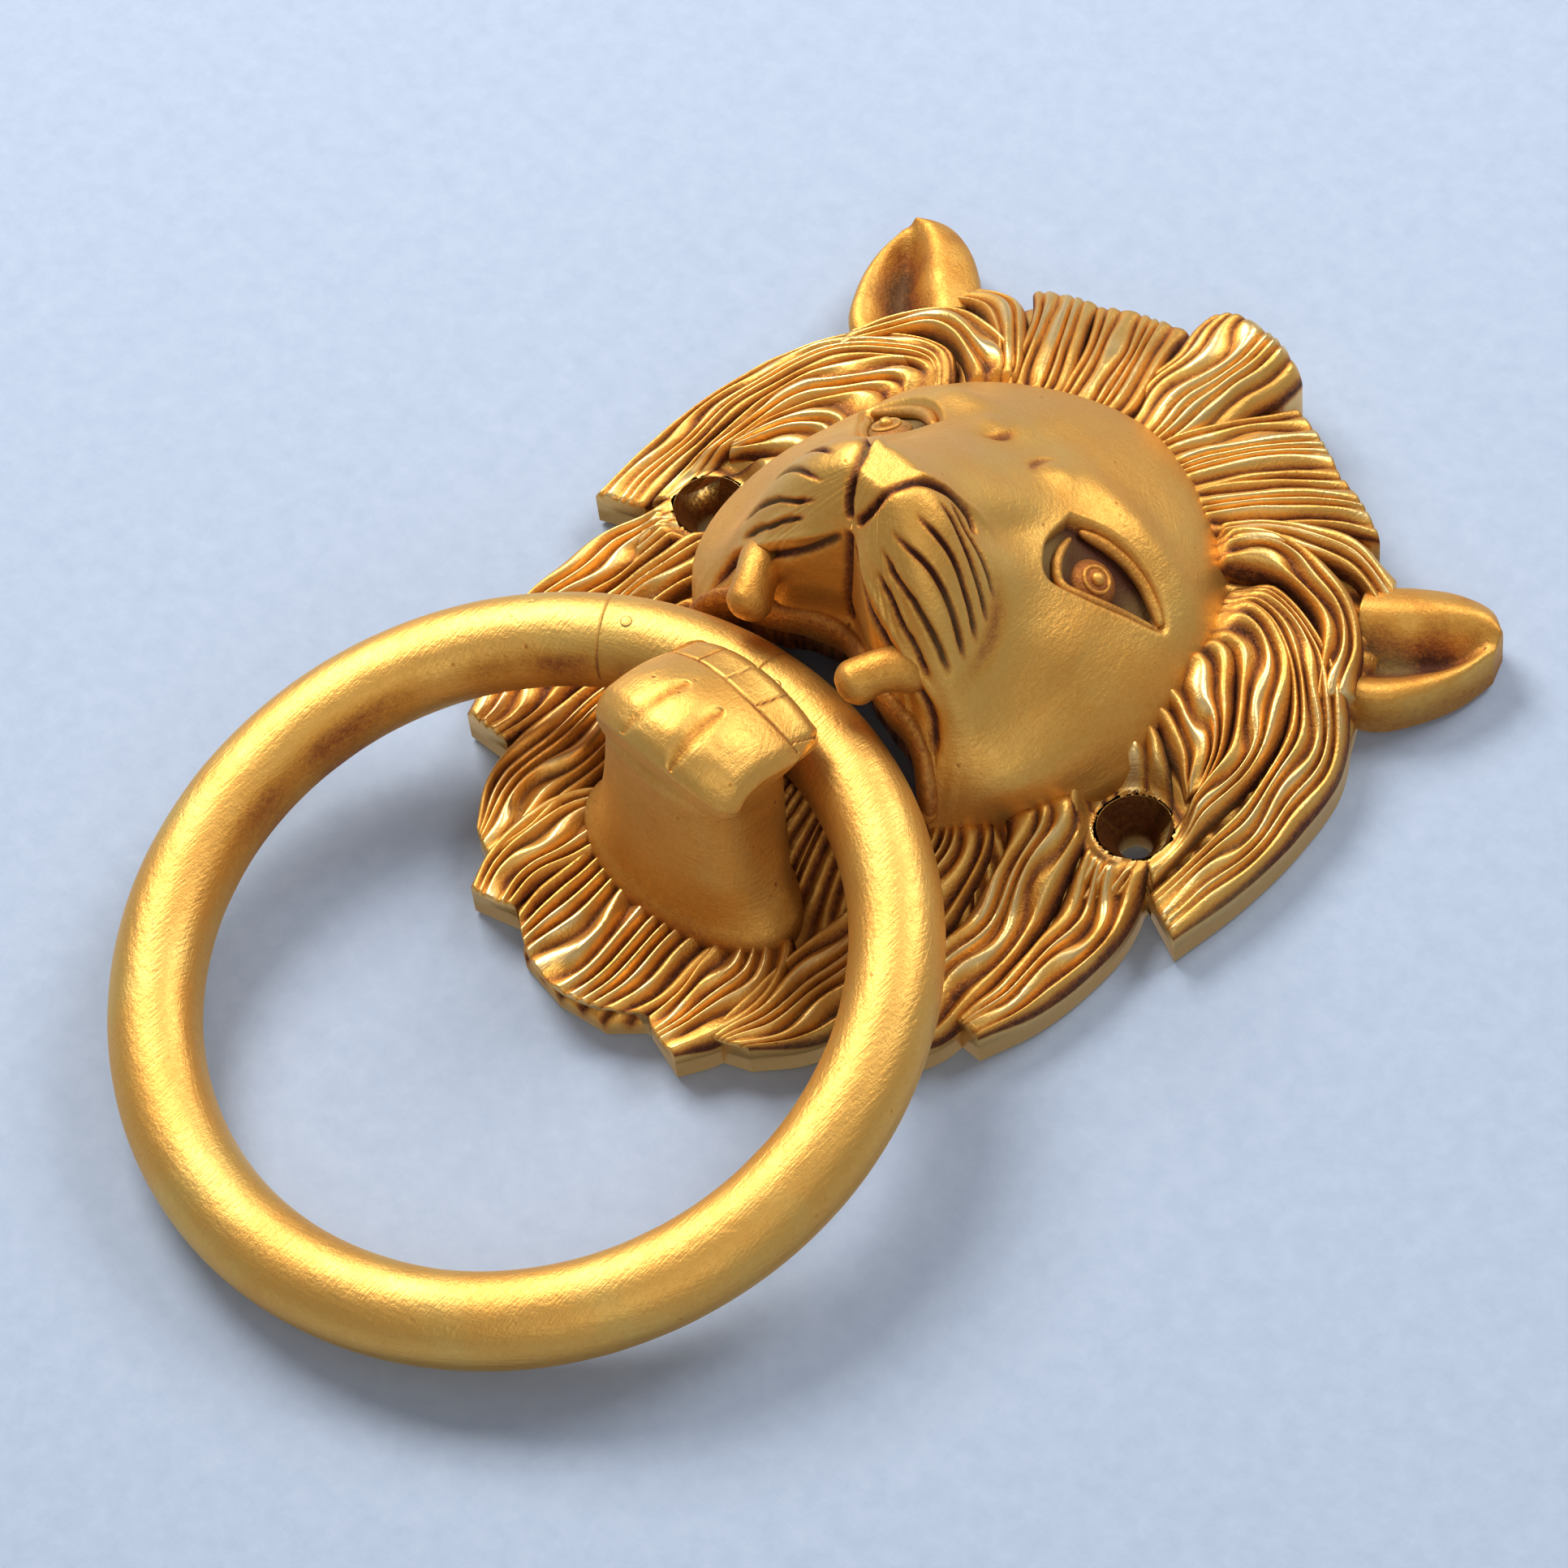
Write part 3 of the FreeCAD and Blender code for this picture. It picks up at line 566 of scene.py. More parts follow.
def levelCurves(inset):
    # places on each level curve at the same turns; turn 0 is up
    turn = np.linspace(-np.pi, np.pi, face["columns"] + 1)
    curves = []
    for depth, *points in faceLevels:
        ring = np.array(points + [(-a, b) for a, b in reversed(points[1:-1])], float)
        middle = (ring[0, 1] + ring[len(points) - 1, 1]) / 2
        ring[:, 1] -= middle
        again = np.concatenate([ring[-4:], ring, ring[:5]])
        dense = through(again, np.linspace(0, 1, 1200))
        angle = np.unwrap(np.arctan2(dense[:, 0], dense[:, 1]))
        radius = np.interp(turn, angle, np.linalg.norm(dense, axis=1), period=2 * np.pi)
        radius = np.maximum(radius - inset, 0.05)
        depth = depth - (0.85 * inset if depth > face["seat"] else 0)
        curves.append(np.stack([radius * np.sin(turn), np.full_like(turn, -depth),
                                middle + radius * np.cos(turn)], -1))
    tip = curves[0].mean(axis=0)
    curves.insert(0, np.broadcast_to(tip + (0, -0.15, 0), curves[0].shape))
    return np.array(curves)


def mouthLine(x):
    line = np.array(face["mouth"])
    return np.interp(np.abs(x), line[:, 0], line[:, 1])


def faceRows(curves, count):
    # rows from the nose outwards, each column ending at the rim or at the lip
    fine = through(curves, np.linspace(0, 1, 900))
    below = mouthLine(fine[..., 0]) - fine[..., 2]
    isOpen = (below > 0) & (np.abs(fine[..., 0]) < face["mouth"][-1][0])
    first = np.where(isOpen.any(axis=0), isOpen.argmax(axis=0), len(fine) - 1)
    step = np.linalg.norm(np.diff(fine, axis=0), axis=-1)
    reach = np.concatenate([np.zeros((1, step.shape[1])), np.cumsum(step, axis=0)])
    rows = np.empty((count, fine.shape[1], 3))
    share = np.linspace(0, 1, count) ** 0.92
    for column in range(fine.shape[1]):
        last = first[column]
        length = reach[last, column]
        if isOpen[last, column] and last:
            over, under = below[last, column], -below[last - 1, column]
            length -= (reach[last, column] - reach[last - 1, column]) * over / max(over + under, 1e-6)
        for axis in range(3):
            rows[:, column, axis] = np.interp(share * length, reach[:, column], fine[:, column, axis])
    return rows, isOpen.any(axis=0)


def surfaceNormals(rows):
    across = np.gradient(rows, axis=1)
    across[:, 0] = across[:, -1] = rows[:, 1] - rows[:, -2]
    normal = unit(np.cross(across, np.gradient(rows, axis=0)))
    normal[0] = (0, -1, 0)
    normal = np.where((normal[..., 1:2] > 0.2), -normal, normal)
    for _ in range(8):
        padded = np.pad(normal, ((1, 1), (0, 0), (0, 0)), mode="edge")
        normal = unit(2 * normal + padded[2:] + padded[:-2]
                      + np.roll(normal, 1, axis=1) + np.roll(normal, -1, axis=1))
    return normal


# lines on the right half of the face: path, width, depth (below 0 is raised), how the ends fade
faceMarks = [
    ("nostril", ((0.2, -48.8, -9.0), (1.8, -50.5, -7.0), (3.2, -53, -3.6), (5.2, -53, -0.2), (7.8, -50, 2.8),
                 (10.4, -47.5, 4.4), (12.8, -46, 2.6)), 0.62, 1.25, 0.08),
    ("nostrilRim", ((2.0, -3.4), (4.2, 0.6), (7.4, 3.6), (10.4, 6.0), (13.0, 5.0)), 0.75, -0.45, 0.2),
    ("philtrum", ((0.0, -48.6, -9.1), (0.0, -44.0, -9.9), (0.0, -36.0, -11.3), (0.0, -29.0, -12.2)),
     0.75, 0.7, 0.10),
    ("lipLine", ((0.6, -47.6, -9.5), (3.6, -44.0, -11.4), (7.5, -41.0, -13.8), (12.0, -37.0, -14.6),
                 (16.5, -33.0, -15.2), (20.5, -29.0, -16.6), (22.6, -24.0, -19.0)), 0.6, 0.95, 0.12),
    ("lipRim", ((0.8, -48.2, -8.6), (4.2, -46.0, -10.4), (8.5, -42.5, -12.6), (13.0, -38.0, -13.2),
                (17.5, -34.0, -13.6), (21.4, -29.5, -15.2)), 0.7, -0.5, 0.25),
    ("browNotch", ((5.4, 19.6), (3.6, 22.2), (3.4, 24.6), (4.8, 26.6)), 0.7, 0.55, 0.5),
    ("padEdge", ((13.2, 3.2), (17.4, 1.0), (20.6, -4.0), (21.4, -9.5), (20.8, -14.0)), 1.6, 0.35, 0.5),
]
whiskers = (((7.6, -51.0, 0.8), (11.5, -47.6, 1.0), (17.0, -38.5, -1.2)),
            ((6.6, -51.8, -1.4), (11.5, -47.8, -1.4), (18.6, -37.0, -3.8)),
            ((6.0, -51.6, -3.6), (12.0, -47.0, -3.9), (19.6, -36.0, -6.4)),
            ((5.6, -50.6, -5.6), (12.0, -46.0, -6.4), (20.2, -35.0, -9.0)),
            ((5.4, -48.8, -7.6), (11.5, -44.6, -8.9), (20.2, -34.0, -11.6)),
            ((6.0, -46.4, -9.8), (11.5, -42.4, -11.4), (18.6, -34.0, -13.8)))
faceMarks += [("whisker%d" % k, path, 0.40, 1.0, 0.22) for k, path in enumerate(whiskers, start=1)]
# broad forms: middle, spread, height
faceSwells = (((8.5, -4.5), (6.5, 6.5), 0.9), ((0, 9), (5.5, 9), 0.4), ((17, 27.2), (11, 3.2), 1.3),
              ((25.5, 4.5), (7, 8), 1.2), ((12.6, 9.5), (3.3, 8.0), -1.7), ((6.6, 23.6), (2.8, 2.4), 0.8),
              ((0, 29), (3.6, 8), -0.8), ((14.5, -7.0), (6.0, 6.0), 0.8), ((26.5, -9), (5, 9), -1.6))
eyeHollow = {"middle": (21.5, 17), "reach": (12, 9), "depth": 2.5,
             "edge": ((12.4, 20.2), (16.2, 22.9), (20.6, 24.2), (25.2, 23.8), (29.8, 20.6), (25.8, 15.8),
                      (22.0, 11.8), (18.4, 9.2), (14.8, 12.6))}


def withinShape(x, z, corners):
    # how far inside the outline each place is; below 0 outside
    edge = through(np.array(corners + corners[:1]), np.linspace(0, 1, 90))
    starts, runs = edge[:-1], np.diff(edge, axis=0)
    spots = np.stack([x, z], -1)[:, None]
    t = np.clip(((spots - starts) * runs).sum(-1) / np.maximum((runs ** 2).sum(-1), 1e-9), 0, 1)
    away = np.linalg.norm(spots - starts - t[..., None] * runs, axis=-1).min(axis=1)
    rises = (starts[:, 1] > z[:, None]) != (edge[1:, 1] > z[:, None])
    slope = runs[:, 0] / np.where(runs[:, 1] == 0, 1e-9, runs[:, 1])
    cross = starts[:, 0] + (z[:, None] - starts[:, 1]) * slope
    return np.where((rises & (x[:, None] < cross)).sum(axis=1) % 2 == 1, away, -away)


def eased(spots, reach):
    # running mean of a line of places
    padded = np.pad(spots, ((reach, reach), (0, 0)), mode="edge")
    kernel = np.ones(2 * reach + 1) / (2 * reach + 1)
    return np.stack([np.convolve(padded[:, k], kernel, mode="valid") for k in range(3)], -1)


def liftOnto(surface, path):
    flat = surface.reshape(-1, 3)
    spots = []
    for spot in path:
        spot = np.asarray(spot)
        gap = ((flat[:, ::2] - spot) ** 2 if len(spot) == 2 else (flat - spot) ** 2).sum(axis=1)
        spots.append(flat[gap.argmin()])
    return np.array(spots)


def nearLine(surface, spots, reach):
    # distance of every place to a line of spots, and how far along it the nearest spot is
    gap = np.full(surface.shape[:2], 99.0)
    place = np.zeros(surface.shape[:2])
    low, high = spots.min(axis=0) - reach, spots.max(axis=0) + reach
    inside = ((surface > low) & (surface < high)).all(axis=-1)
    chosen = surface[inside]
    starts, runs = spots[:-1], np.diff(spots, axis=0)
    size = np.maximum((runs ** 2).sum(axis=-1), 1e-9)
    t = np.clip(((chosen[:, None] - starts[None]) * runs[None]).sum(axis=-1) / size, 0, 1)
    away = np.linalg.norm(chosen[:, None] - starts[None] - t[..., None] * runs[None], axis=-1)
    best = away.argmin(axis=1)
    gap[inside] = away[np.arange(len(best)), best]
    place[inside] = (best + t[np.arange(len(best)), best]) / len(runs)
    return gap, place


def carveFace(rows):
    normals = surfaceNormals(rows)
    push = np.zeros(rows.shape[:2])
    grime_and_shade = np.zeros(rows.shape[:2])
    for side in (1, -1):
        for (cx, cz), (sx, sz), height in faceSwells:
            if side < 0 and cx == 0:
                continue
            form = np.exp(-((rows[..., 0] - side * cx) / sx) ** 2 - ((rows[..., 2] - cz) / sz) ** 2)
            push += height * form
    shaped = rows + normals * push[..., None]
    cut = np.zeros(rows.shape[:2])
    for side in (1, -1):
        for name, path, width, depth, fade in faceMarks:
            if name == "philtrum" and side < 0:
                continue
            line = through(path, np.linspace(0, 1, 48))
            line[:, 0] *= side
            gap, place = nearLine(shaped, eased(liftOnto(shaped, line), 4), 4 * width)
            taper = smooth(0, fade, place) * smooth(0, fade, 1 - place)
            mark = np.exp(-(gap / width) ** 2) * (gap < 50) * taper
            cut = np.where(depth > 0, np.maximum(cut, depth * mark), cut)
            if depth < 0:
                push -= depth * mark
            else:
                grime_and_shade = np.maximum(grime_and_shade, mark ** 0.8 * min(depth, 1.0))
    push = push - cut
    middle, reach = eyeHollow["middle"], eyeHollow["reach"]
    near = np.abs(np.abs(shaped[..., 0]) - middle[0]) < reach[0]
    near = near & (np.abs(shaped[..., 2] - middle[1]) < reach[1])
    within = withinShape(np.abs(shaped[near][:, 0]), shaped[near][:, 2], eyeHollow["edge"])
    push[near] -= eyeHollow["depth"] * smooth(-0.15, 1.0, within)
    grime_and_shade[near] = np.maximum(grime_and_shade[near], 0.80 * smooth(0.2, 1.2, within))
    push += 0.05 * lumps(rows, 5.0, 4) + 0.03 * lumps(rows, 1.6, 6)
    carved = rows + normals * push[..., None]
    carved[..., 1] = np.maximum(carved[..., 1], -face["nosePad"])  # the nose pad is filed flat
    return carved, grime_and_shade


def buildFace():
    outer, lipped = faceRows(levelCurves(0.0), face["outer"])
    inner, _ = faceRows(levelCurves(face["wall"]), face["inner"])
    carved, grime_and_shade = carveFace(outer)

    def seated(row):
        # brought down to the door, except along the open mouth
        return np.where(lipped[:, None], row, row * (1, 0, 1) + (0, -0.5, 0))

    rows = np.concatenate([carved, [seated(carved[-1])], [seated(inner[-1])], inner[::-1]])
    rim = np.full((2, rows.shape[1]), 0.5)
    inside = np.full(inner.shape[:2], 0.75)
    piece = sculpted("lion_face", rows, np.concatenate([grime_and_shade, rim, inside]))
    dressed(piece, "face", nodes=["face_shell"])
    return carved


def buildLips(surface):
    # rolled edge of the upper lip, and the bead at each corner of the mouth
    pieces = []
    line = np.array([(-x, z) for x, z in reversed(face["mouth"][1:-1])] + list(face["mouth"][:-1]))
    count = 160
    spots = eased(liftOnto(surface, through(line, np.linspace(0, 1, count))), 4)
    radius = 1.5 * rounded(count, near=0.03) * (1 + 0.06 * np.sin(np.arange(count) * 0.21))
    pieces.append(sculpted("lip", tube(spots + (0, 1.2, 0.5), radius, 24, flat=1.9), 0.30))
    for end in (0, -1):
        path = spots[end] + np.outer(np.linspace(-1, 1, 15), (0, 1.7, -1.0))
        pieces.append(sculpted("bead", tube(path, 1.7 * rounded(15, near=0.5), 20), 0.2))
    dressed(joined("upper_lip", pieces), "face")


# eyes: ball with a ringed pupil, an almond rim and a heavy upper lid

eye = {"across": 19.9, "level": 16.0, "ball": 3.7, "iris": (2.0, 1.9), "irisBar": 0.34, "pupil": 1.0,
       "upperLid": ((13.4, 19.4), (16.8, 21.5), (20.6, 22.6), (24.8, 22.1), (28.6, 20.2)),
       "lowerLid": ((13.8, 18.4), (15.4, 13.8), (18.4, 10.9), (21.6, 12.8), (25.0, 16.6), (28.4, 19.6))}


def buildEye(surface, side, word):
    # the middle of the eye and four places round it, which give the way it faces
    steps = ((0, 0), (-2.5, 0), (2.5, 0), (0, -2.5), (0, 2.5))
    spots = liftOnto(surface, [(side * (eye["across"] + a), eye["level"] + b) for a, b in steps])
    facing = unit(np.cross(spots[2] - spots[1], spots[4] - spots[3]))
    facing = facing if facing[1] < 0 else -facing
    facing = unit(facing + np.array((0, -0.25, 0)))
    across = unit(np.cross(facing, (0, 0, 1))) * -side
    across = across if across[0] * side > 0 else -across
    up = unit(np.cross(across, facing))
    up = up if up[2] > 0 else -up
    home = spots[0]

    def local(points):
        points = np.asarray(points, float)
        return home + points[..., :1] * across + points[..., 1:2] * up + points[..., 2:3] * facing

    def lidRows(path, radius, proud):
        spots = liftOnto(surface, through(path, np.linspace(0, 1, 48)) * (side, 1)) + facing * proud
        return tube(eased(spots, 3), radius * rounded(48, near=0.25), 20, up=facing)

    turn = np.linspace(0, 2 * np.pi, 61)
    ball = np.array([(0, 0, k) for k in np.linspace(-1.6, 1.8, 24)])
    pieces = [sculpted("ball", tube(local(ball), eye["ball"] * rounded(24, near=0.6), 40, up=up), 0.36)]
    wide, tall = eye["iris"]
    iris = np.stack([wide * np.cos(turn), tall * np.sin(turn), np.full_like(turn, 1.45)], -1)
    rows = tube(local(iris), np.full(len(turn), eye["irisBar"]), 16, up=facing)
    rows[-1] = rows[0]
    pieces.append(sculpted("iris", rows, 0.16))
    bead = np.array([(0, 0, k) for k in np.linspace(1.0, 2.7, 14)])
    rows = tube(local(bead), eye["pupil"] * rounded(14, near=0.5), 24, up=up)
    pieces.append(sculpted("pupil", rows, 0.02))
    pieces.append(sculpted("upperLid", lidRows(eye["upperLid"], 0.95, 0.8), 0.18))
    pieces.append(sculpted("lowerLid", lidRows(eye["lowerLid"], 0.75, 0.6), 0.18))
    dressed(joined(word + "_eye_lids", pieces), "face", nodes=[word + "_eye"])


# fangs: from the root under the lip to the tip
fang = {"size": 3.5, "path": ((15.2, -31.5, -11.5), (13.6, -34.2, -14.6), (11.6, -34.6, -18.0),
                              (10.0, -33.5, -21.2), (9.3, -32.9, -22.8))}


def buildFang(side, word):
    t = np.linspace(0, 1, 40)
    path = through(fang["path"], t)
    size = fang["size"] - 0.45 * smooth(0.2, 0.6, t) + 0.3 * smooth(0.6, 0.85, t)
    rows = tube(path * (side, 1, 1), size * rounded(len(t), near=0.22), 32)
    # darker toward the root under the lip: patina together with painted shade where the fang meets the lip
    patina_and_shade = 0.16 + 0.4 * (1 - smooth(0, 0.3, t))[:, None]
    dressed(sculpted(word + "_fang_tooth", rows, patina_and_shade), "face", nodes=[word + "_fang"])


# ears

ear = {"edge": 9.2, "upper": ((38.5, 53.0), (44.0, 57.8), (49.5, 61.0), (54.4, 61.8), (57.6, 60.0)),
       "lower": ((47.5, 36.0), (52.4, 38.4), (56.4, 44.0), (58.8, 50.5), (59.3, 56.0))}


def buildEar(side, word):
    v = np.linspace(0, 1, 60)
    u = np.linspace(0, 1, 61)
    a, b = through(ear["upper"], v), through(ear["lower"], v)
    flat = a[:, None] * (1 - u)[None, :, None] + b[:, None] * u[None, :, None]
    width = np.linalg.norm(a - b, axis=1)[:, None]
    fold = np.abs(2 * u - 1)[None]
    bowl = np.exp(-((u[None] - 0.62) / 0.17) ** 2) * smooth(0, 0.45, 1 - v)[:, None]
    rim = np.sqrt(np.clip(1 - fold ** 6, 0, 1))
    ridge = np.exp(-((u[None] - 0.28) / 0.20) ** 2)
    depth = (ear["edge"] + 1.6 * ridge - 4.6 * bowl * np.clip(width / 14, 0, 1)
             - 2.4 * (1 - rim) - 1.6 * v[:, None] ** 3)
    grime_and_shade = 0.75 * bowl ** 1.6 * smooth(0, 0.5, 1 - v)[:, None] + 0.05 + 0.12 * lumps(flat, 3.0, 14)
    grime_and_shade = np.clip(grime_and_shade, 0, 1)
    top = np.stack([side * flat[..., 0], -depth, flat[..., 1]], -1)
    foot = top[:, [0, -1]] * (1, 0, 1) + (0, -0.5, 0)
    mid = top[:, [0, -1]] * (1, 0.45, 1)
    loop = np.concatenate([foot[:, :1], mid[:, :1], top, mid[:, 1:], foot[:, 1:], foot[:, :1]], axis=1)
    patina_and_shade = np.concatenate([0 * v[:, None] + 0.25] * 2 + [grime_and_shade] + [0 * v[:, None] + 0.25] * 3, axis=1)
    dressed(sculpted(word + "_ear_leaf", loop, patina_and_shade), "face", nodes=[word + "_ear"])


# lower jaw: foot, neck and the chin in front of the ring

jaw = {"half": 13.4, "top": -28.2, "chin": -50.0, "front": 41.0, "back": 31.3, "curve": 20.4,
       "corner": 2.0, "strip": 5.8, "clear": 7.05}
# neck: depth off the door, half width, half height, level
neckStations = ((2.0, 18.8, 10.2, -44.8), (8.4, 18.8, 10.2, -44.8), (9.6, 17.9, 9.8, -44.5),
                (12.5, 16.2, 9.3, -44.0), (17.0, 14.8, 9.0, -43.3), (23.0, 13.9, 8.9, -42.5),
                (29.0, 13.3, 9.1, -41.8), (34.0, 12.9, 9.3, -41.0), (36.0, 9.0, 6.0, -40.0))


def clearRing(points):
    # keeps a place out of the way of the bar as the ring swings
    out = points.copy()
    dy, dz = out[..., 1] - pivot[1], out[..., 2] - pivot[2]
    away = np.hypot(dy, dz)
    radius, across = ring["radius"], np.minimum(np.abs(out[..., 0]), ring["radius"] / 2)
    need = jaw["clear"] + radius - np.sqrt(radius ** 2 - across ** 2)
    grow = np.where(away < need, need / np.maximum(away, 1e-6), 1.0)
    out[..., 1] = pivot[1] + dy * grow
    out[..., 2] = pivot[2] + dz * grow
    return out


def buildJaw():
    bpy.ops.mesh.primitive_cube_add(size=2)
    chin = bpy.context.object
    chin.name = chin.data.name = "chin"
    for cuts in (7, 6, 1):
        editMesh(chin, lambda cuts=cuts: bpy.ops.mesh.subdivide(number_cuts=cuts))
    flat = np.empty(len(chin.data.vertices) * 3, np.float32)
    chin.data.vertices.foreach_get("co", flat)
    cube = flat.reshape(-1, 3).astype(float)
    y = cube[:, 1]
    half, thick = jaw["half"], (jaw["front"] - jaw["back"]) / 2
    tall, level = (jaw["top"] - jaw["chin"]) / 2, (jaw["top"] + jaw["chin"]) / 2
    size = np.array([half, thick, tall])
    soft = jaw["corner"]
    place = cube * size
    core = np.clip(place, -(size - soft), size - soft)
    place = core + unit(place - core) * np.minimum(np.linalg.norm(place - core, axis=1, keepdims=True), soft)
    arc = jaw["curve"] - np.sqrt(jaw["curve"] ** 2 - np.clip(place[:, 0], -half, half) ** 2)
    frontward = smooth(-1.0, 1.0, -y)
    up = place[:, 2] / tall
    belly = 4.2 * smooth(-0.35, 1.0, up) ** 1.1 + 1.8 * smooth(0.45, 1.0, -up) ** 1.5
    px = place[:, 0] * (1 - 0.06 * smooth(0.2, 1.0, up) + 0.03 * smooth(0.1, 0.9, -up))
    py = -(jaw["front"] + jaw["back"]) / 2 + place[:, 1] + frontward * (arc * 0.95 + belly)
    pz = level + place[:, 2] - 0.9 * (px / half) ** 2 * smooth(0.3, 1, up)
    pz = pz + 2.4 * (np.abs(px) / half) ** 3 * smooth(0.3, 1.0, -up)
    points = np.stack([px, py, pz], -1)
    grime_and_shade = np.zeros(len(points)) + 0.10
    front = smooth(-0.2, 0.6, -y)
    stripLevel = jaw["top"] - jaw["strip"]
    cuts = [(np.abs(pz - stripLevel + 0.25 * np.sin(px * 0.3)), 0.20, 0.42, np.abs(px) < 12.6)]
    for at in (-6.6, -0.8, 5.2, 11.4):
        cuts.append((np.abs(px - at - 0.10 * (pz - stripLevel)), 0.18, 0.34,
                     (pz > stripLevel) & (pz < jaw["top"] - 0.3)))
    for at, lean in ((-4.0, 0.9), (4.0, -0.3)):
        reach = np.clip((pz + 44.0) / 5.6, -1, 1)
        wide = 2.0 * np.sqrt(np.clip(1 - reach ** 2, 0, 1)) + 0.05
        cuts.append((np.abs(px - at - lean * reach) / wide, 0.8, 0.45, np.abs(reach) < 1))
    for gap, width, depth, inside in cuts:
        mark = np.exp(-(gap / width) ** 2) * inside * front
        points[:, 1] += depth * mark
        grime_and_shade = np.maximum(grime_and_shade, mark ** 2 * (0.85 if width < 0.5 else 0.4))
    points[:, 1] += 0.08 * lumps(points, 3.0, 12) * front
    points = clearRing(points)
    chin.data.vertices.foreach_set("co", (points * mm).astype(np.float32).ravel())
    chin.data.attributes.new("grime_and_shade", "FLOAT", "POINT").data.foreach_set("value", grime_and_shade.astype(np.float32))
    editMesh(chin, outward)
    bpy.ops.object.shade_smooth()

    t = np.linspace(0, 1, 60)
    line = through(neckStations, t)
    turn = np.linspace(0, 2 * np.pi, 121)
    square = 1 / (np.abs(np.cos(turn)) ** 2.6 + np.abs(np.sin(turn)) ** 2.6) ** (1 / 2.6)
    blend = smooth(9, 18, line[:, :1])
    reach = 1 - blend + square[None] * blend
    rows = np.stack([line[:, 1:2] * np.cos(turn) * reach, np.repeat(-line[:, :1], len(turn), axis=1),
                     line[:, 3:4] + line[:, 2:3] * np.sin(turn) * reach], -1)
    rows = clearRing(rows)
    # darker toward the door under the chin: patina together with painted shade where the neck meets the plate
    soil_and_shade = 0.16 + 0.35 * smooth(0.35, 0.0, t)[:, None] * np.ones(len(turn)) + 0.08 * lumps(rows, 6.0, 15)
    neck = sculpted("neck", rows, np.clip(soil_and_shade, 0, 1))
    dressed(joined("lower_jaw_cast", [chin, neck]), "jaw", nodes=["lower_jaw"])


# ring: open ring closed by a half-lapped link with two pins

ring = {"radius": 52.0, "bar": 6.65, "tilt": 9.0, "linkStart": 86.0, "linkSweep": 35.4, "lap": 8.0,
        "seam": 0.012, "sides": 64}
# rivet: height along its axis and radius, from end to end
rivet = ((-6.72, 0), (-6.72, 0.7), (-6.66, 0.86), (-6.4, 0.9), (-6.45, 1.05), (-5.5, 1.05),
         (5.5, 1.05), (6.50, 1.05), (6.46, 0.92), (6.68, 0.86), (6.76, 0.6), (6.78, 0))


def ringHome(points):
    # from flat about its own middle to where it hangs
    tilt = math.radians(90 + ring["tilt"])
    c, s = math.cos(tilt), math.sin(tilt)
    x, y, z = points[..., 0], points[..., 1], points[..., 2]
    low = np.array((0, pivot[1] + ring["radius"] * math.sin(math.radians(ring["tilt"])),
                    pivot[2] - ring["radius"] * math.cos(math.radians(ring["tilt"]))))
    return np.stack([x, y * c - z * s, y * s + z * c], -1) + low


def barRows(startFront, startBack, endFront, endBack, count):
    # each half of the bar, front and back, has its own ends; that makes the half laps
    phi = np.linspace(0, 2 * np.pi, ring["sides"] + 1)
    front = smooth(-0.06, 0.06, np.sin(phi))
    start = startBack + (startFront - startBack) * front
    end = endBack + (endFront - endBack) * front
    turn = np.radians(start[None] + (end - start)[None] * np.linspace(0, 1, count)[:, None])
    wave = np.stack([np.cos(turn) * ring["radius"], np.sin(turn) * ring["radius"],
                     np.broadcast_to(np.cos(phi) * 9, turn.shape)], -1)
    size = ring["bar"] * (1 + 0.012 * lumps(wave, 14.0, 2) + 0.004 * lumps(wave, 4.0, 7))
    size = size * (1 - 0.010 * np.cos(4 * phi)[None])
    outer = ring["radius"] + size * np.cos(phi)[None]
    rows = np.stack([outer * np.cos(turn), outer * np.sin(turn), size * np.sin(phi)[None]], -1)
    ends = np.array([rows[0].mean(axis=0), rows[-1].mean(axis=0)])
    first, last = (np.broadcast_to(end, rows[:1].shape) for end in ends)
    rows = np.concatenate([first, rows, last])
    edge = np.minimum(np.linspace(0, 1, count), np.linspace(1, 0, count)) * (end - start).mean() * 0.9
    grime_and_shade = 0.10 + 0.3 * np.exp(-(edge / 0.2) ** 2)[:, None] * np.ones(len(phi))
    inner = np.exp(-((np.cos(phi) + 0.88) / 0.20) ** 2)[None]
    inner = inner * smooth(0.15, 0.7, lumps(wave, 9.0, 41) * 0.5 + 0.6)
    held = smooth(100, 125, np.degrees(turn) % 360) * smooth(215, 180, np.degrees(turn) % 360)
    grime_and_shade = grime_and_shade + 0.42 * inner * held * (np.sin(phi)[None] > -0.6)
    grime_and_shade = np.concatenate([grime_and_shade[:1], grime_and_shade, grime_and_shade[-1:]])
    return ringHome(rows), np.clip(grime_and_shade, 0, 1)


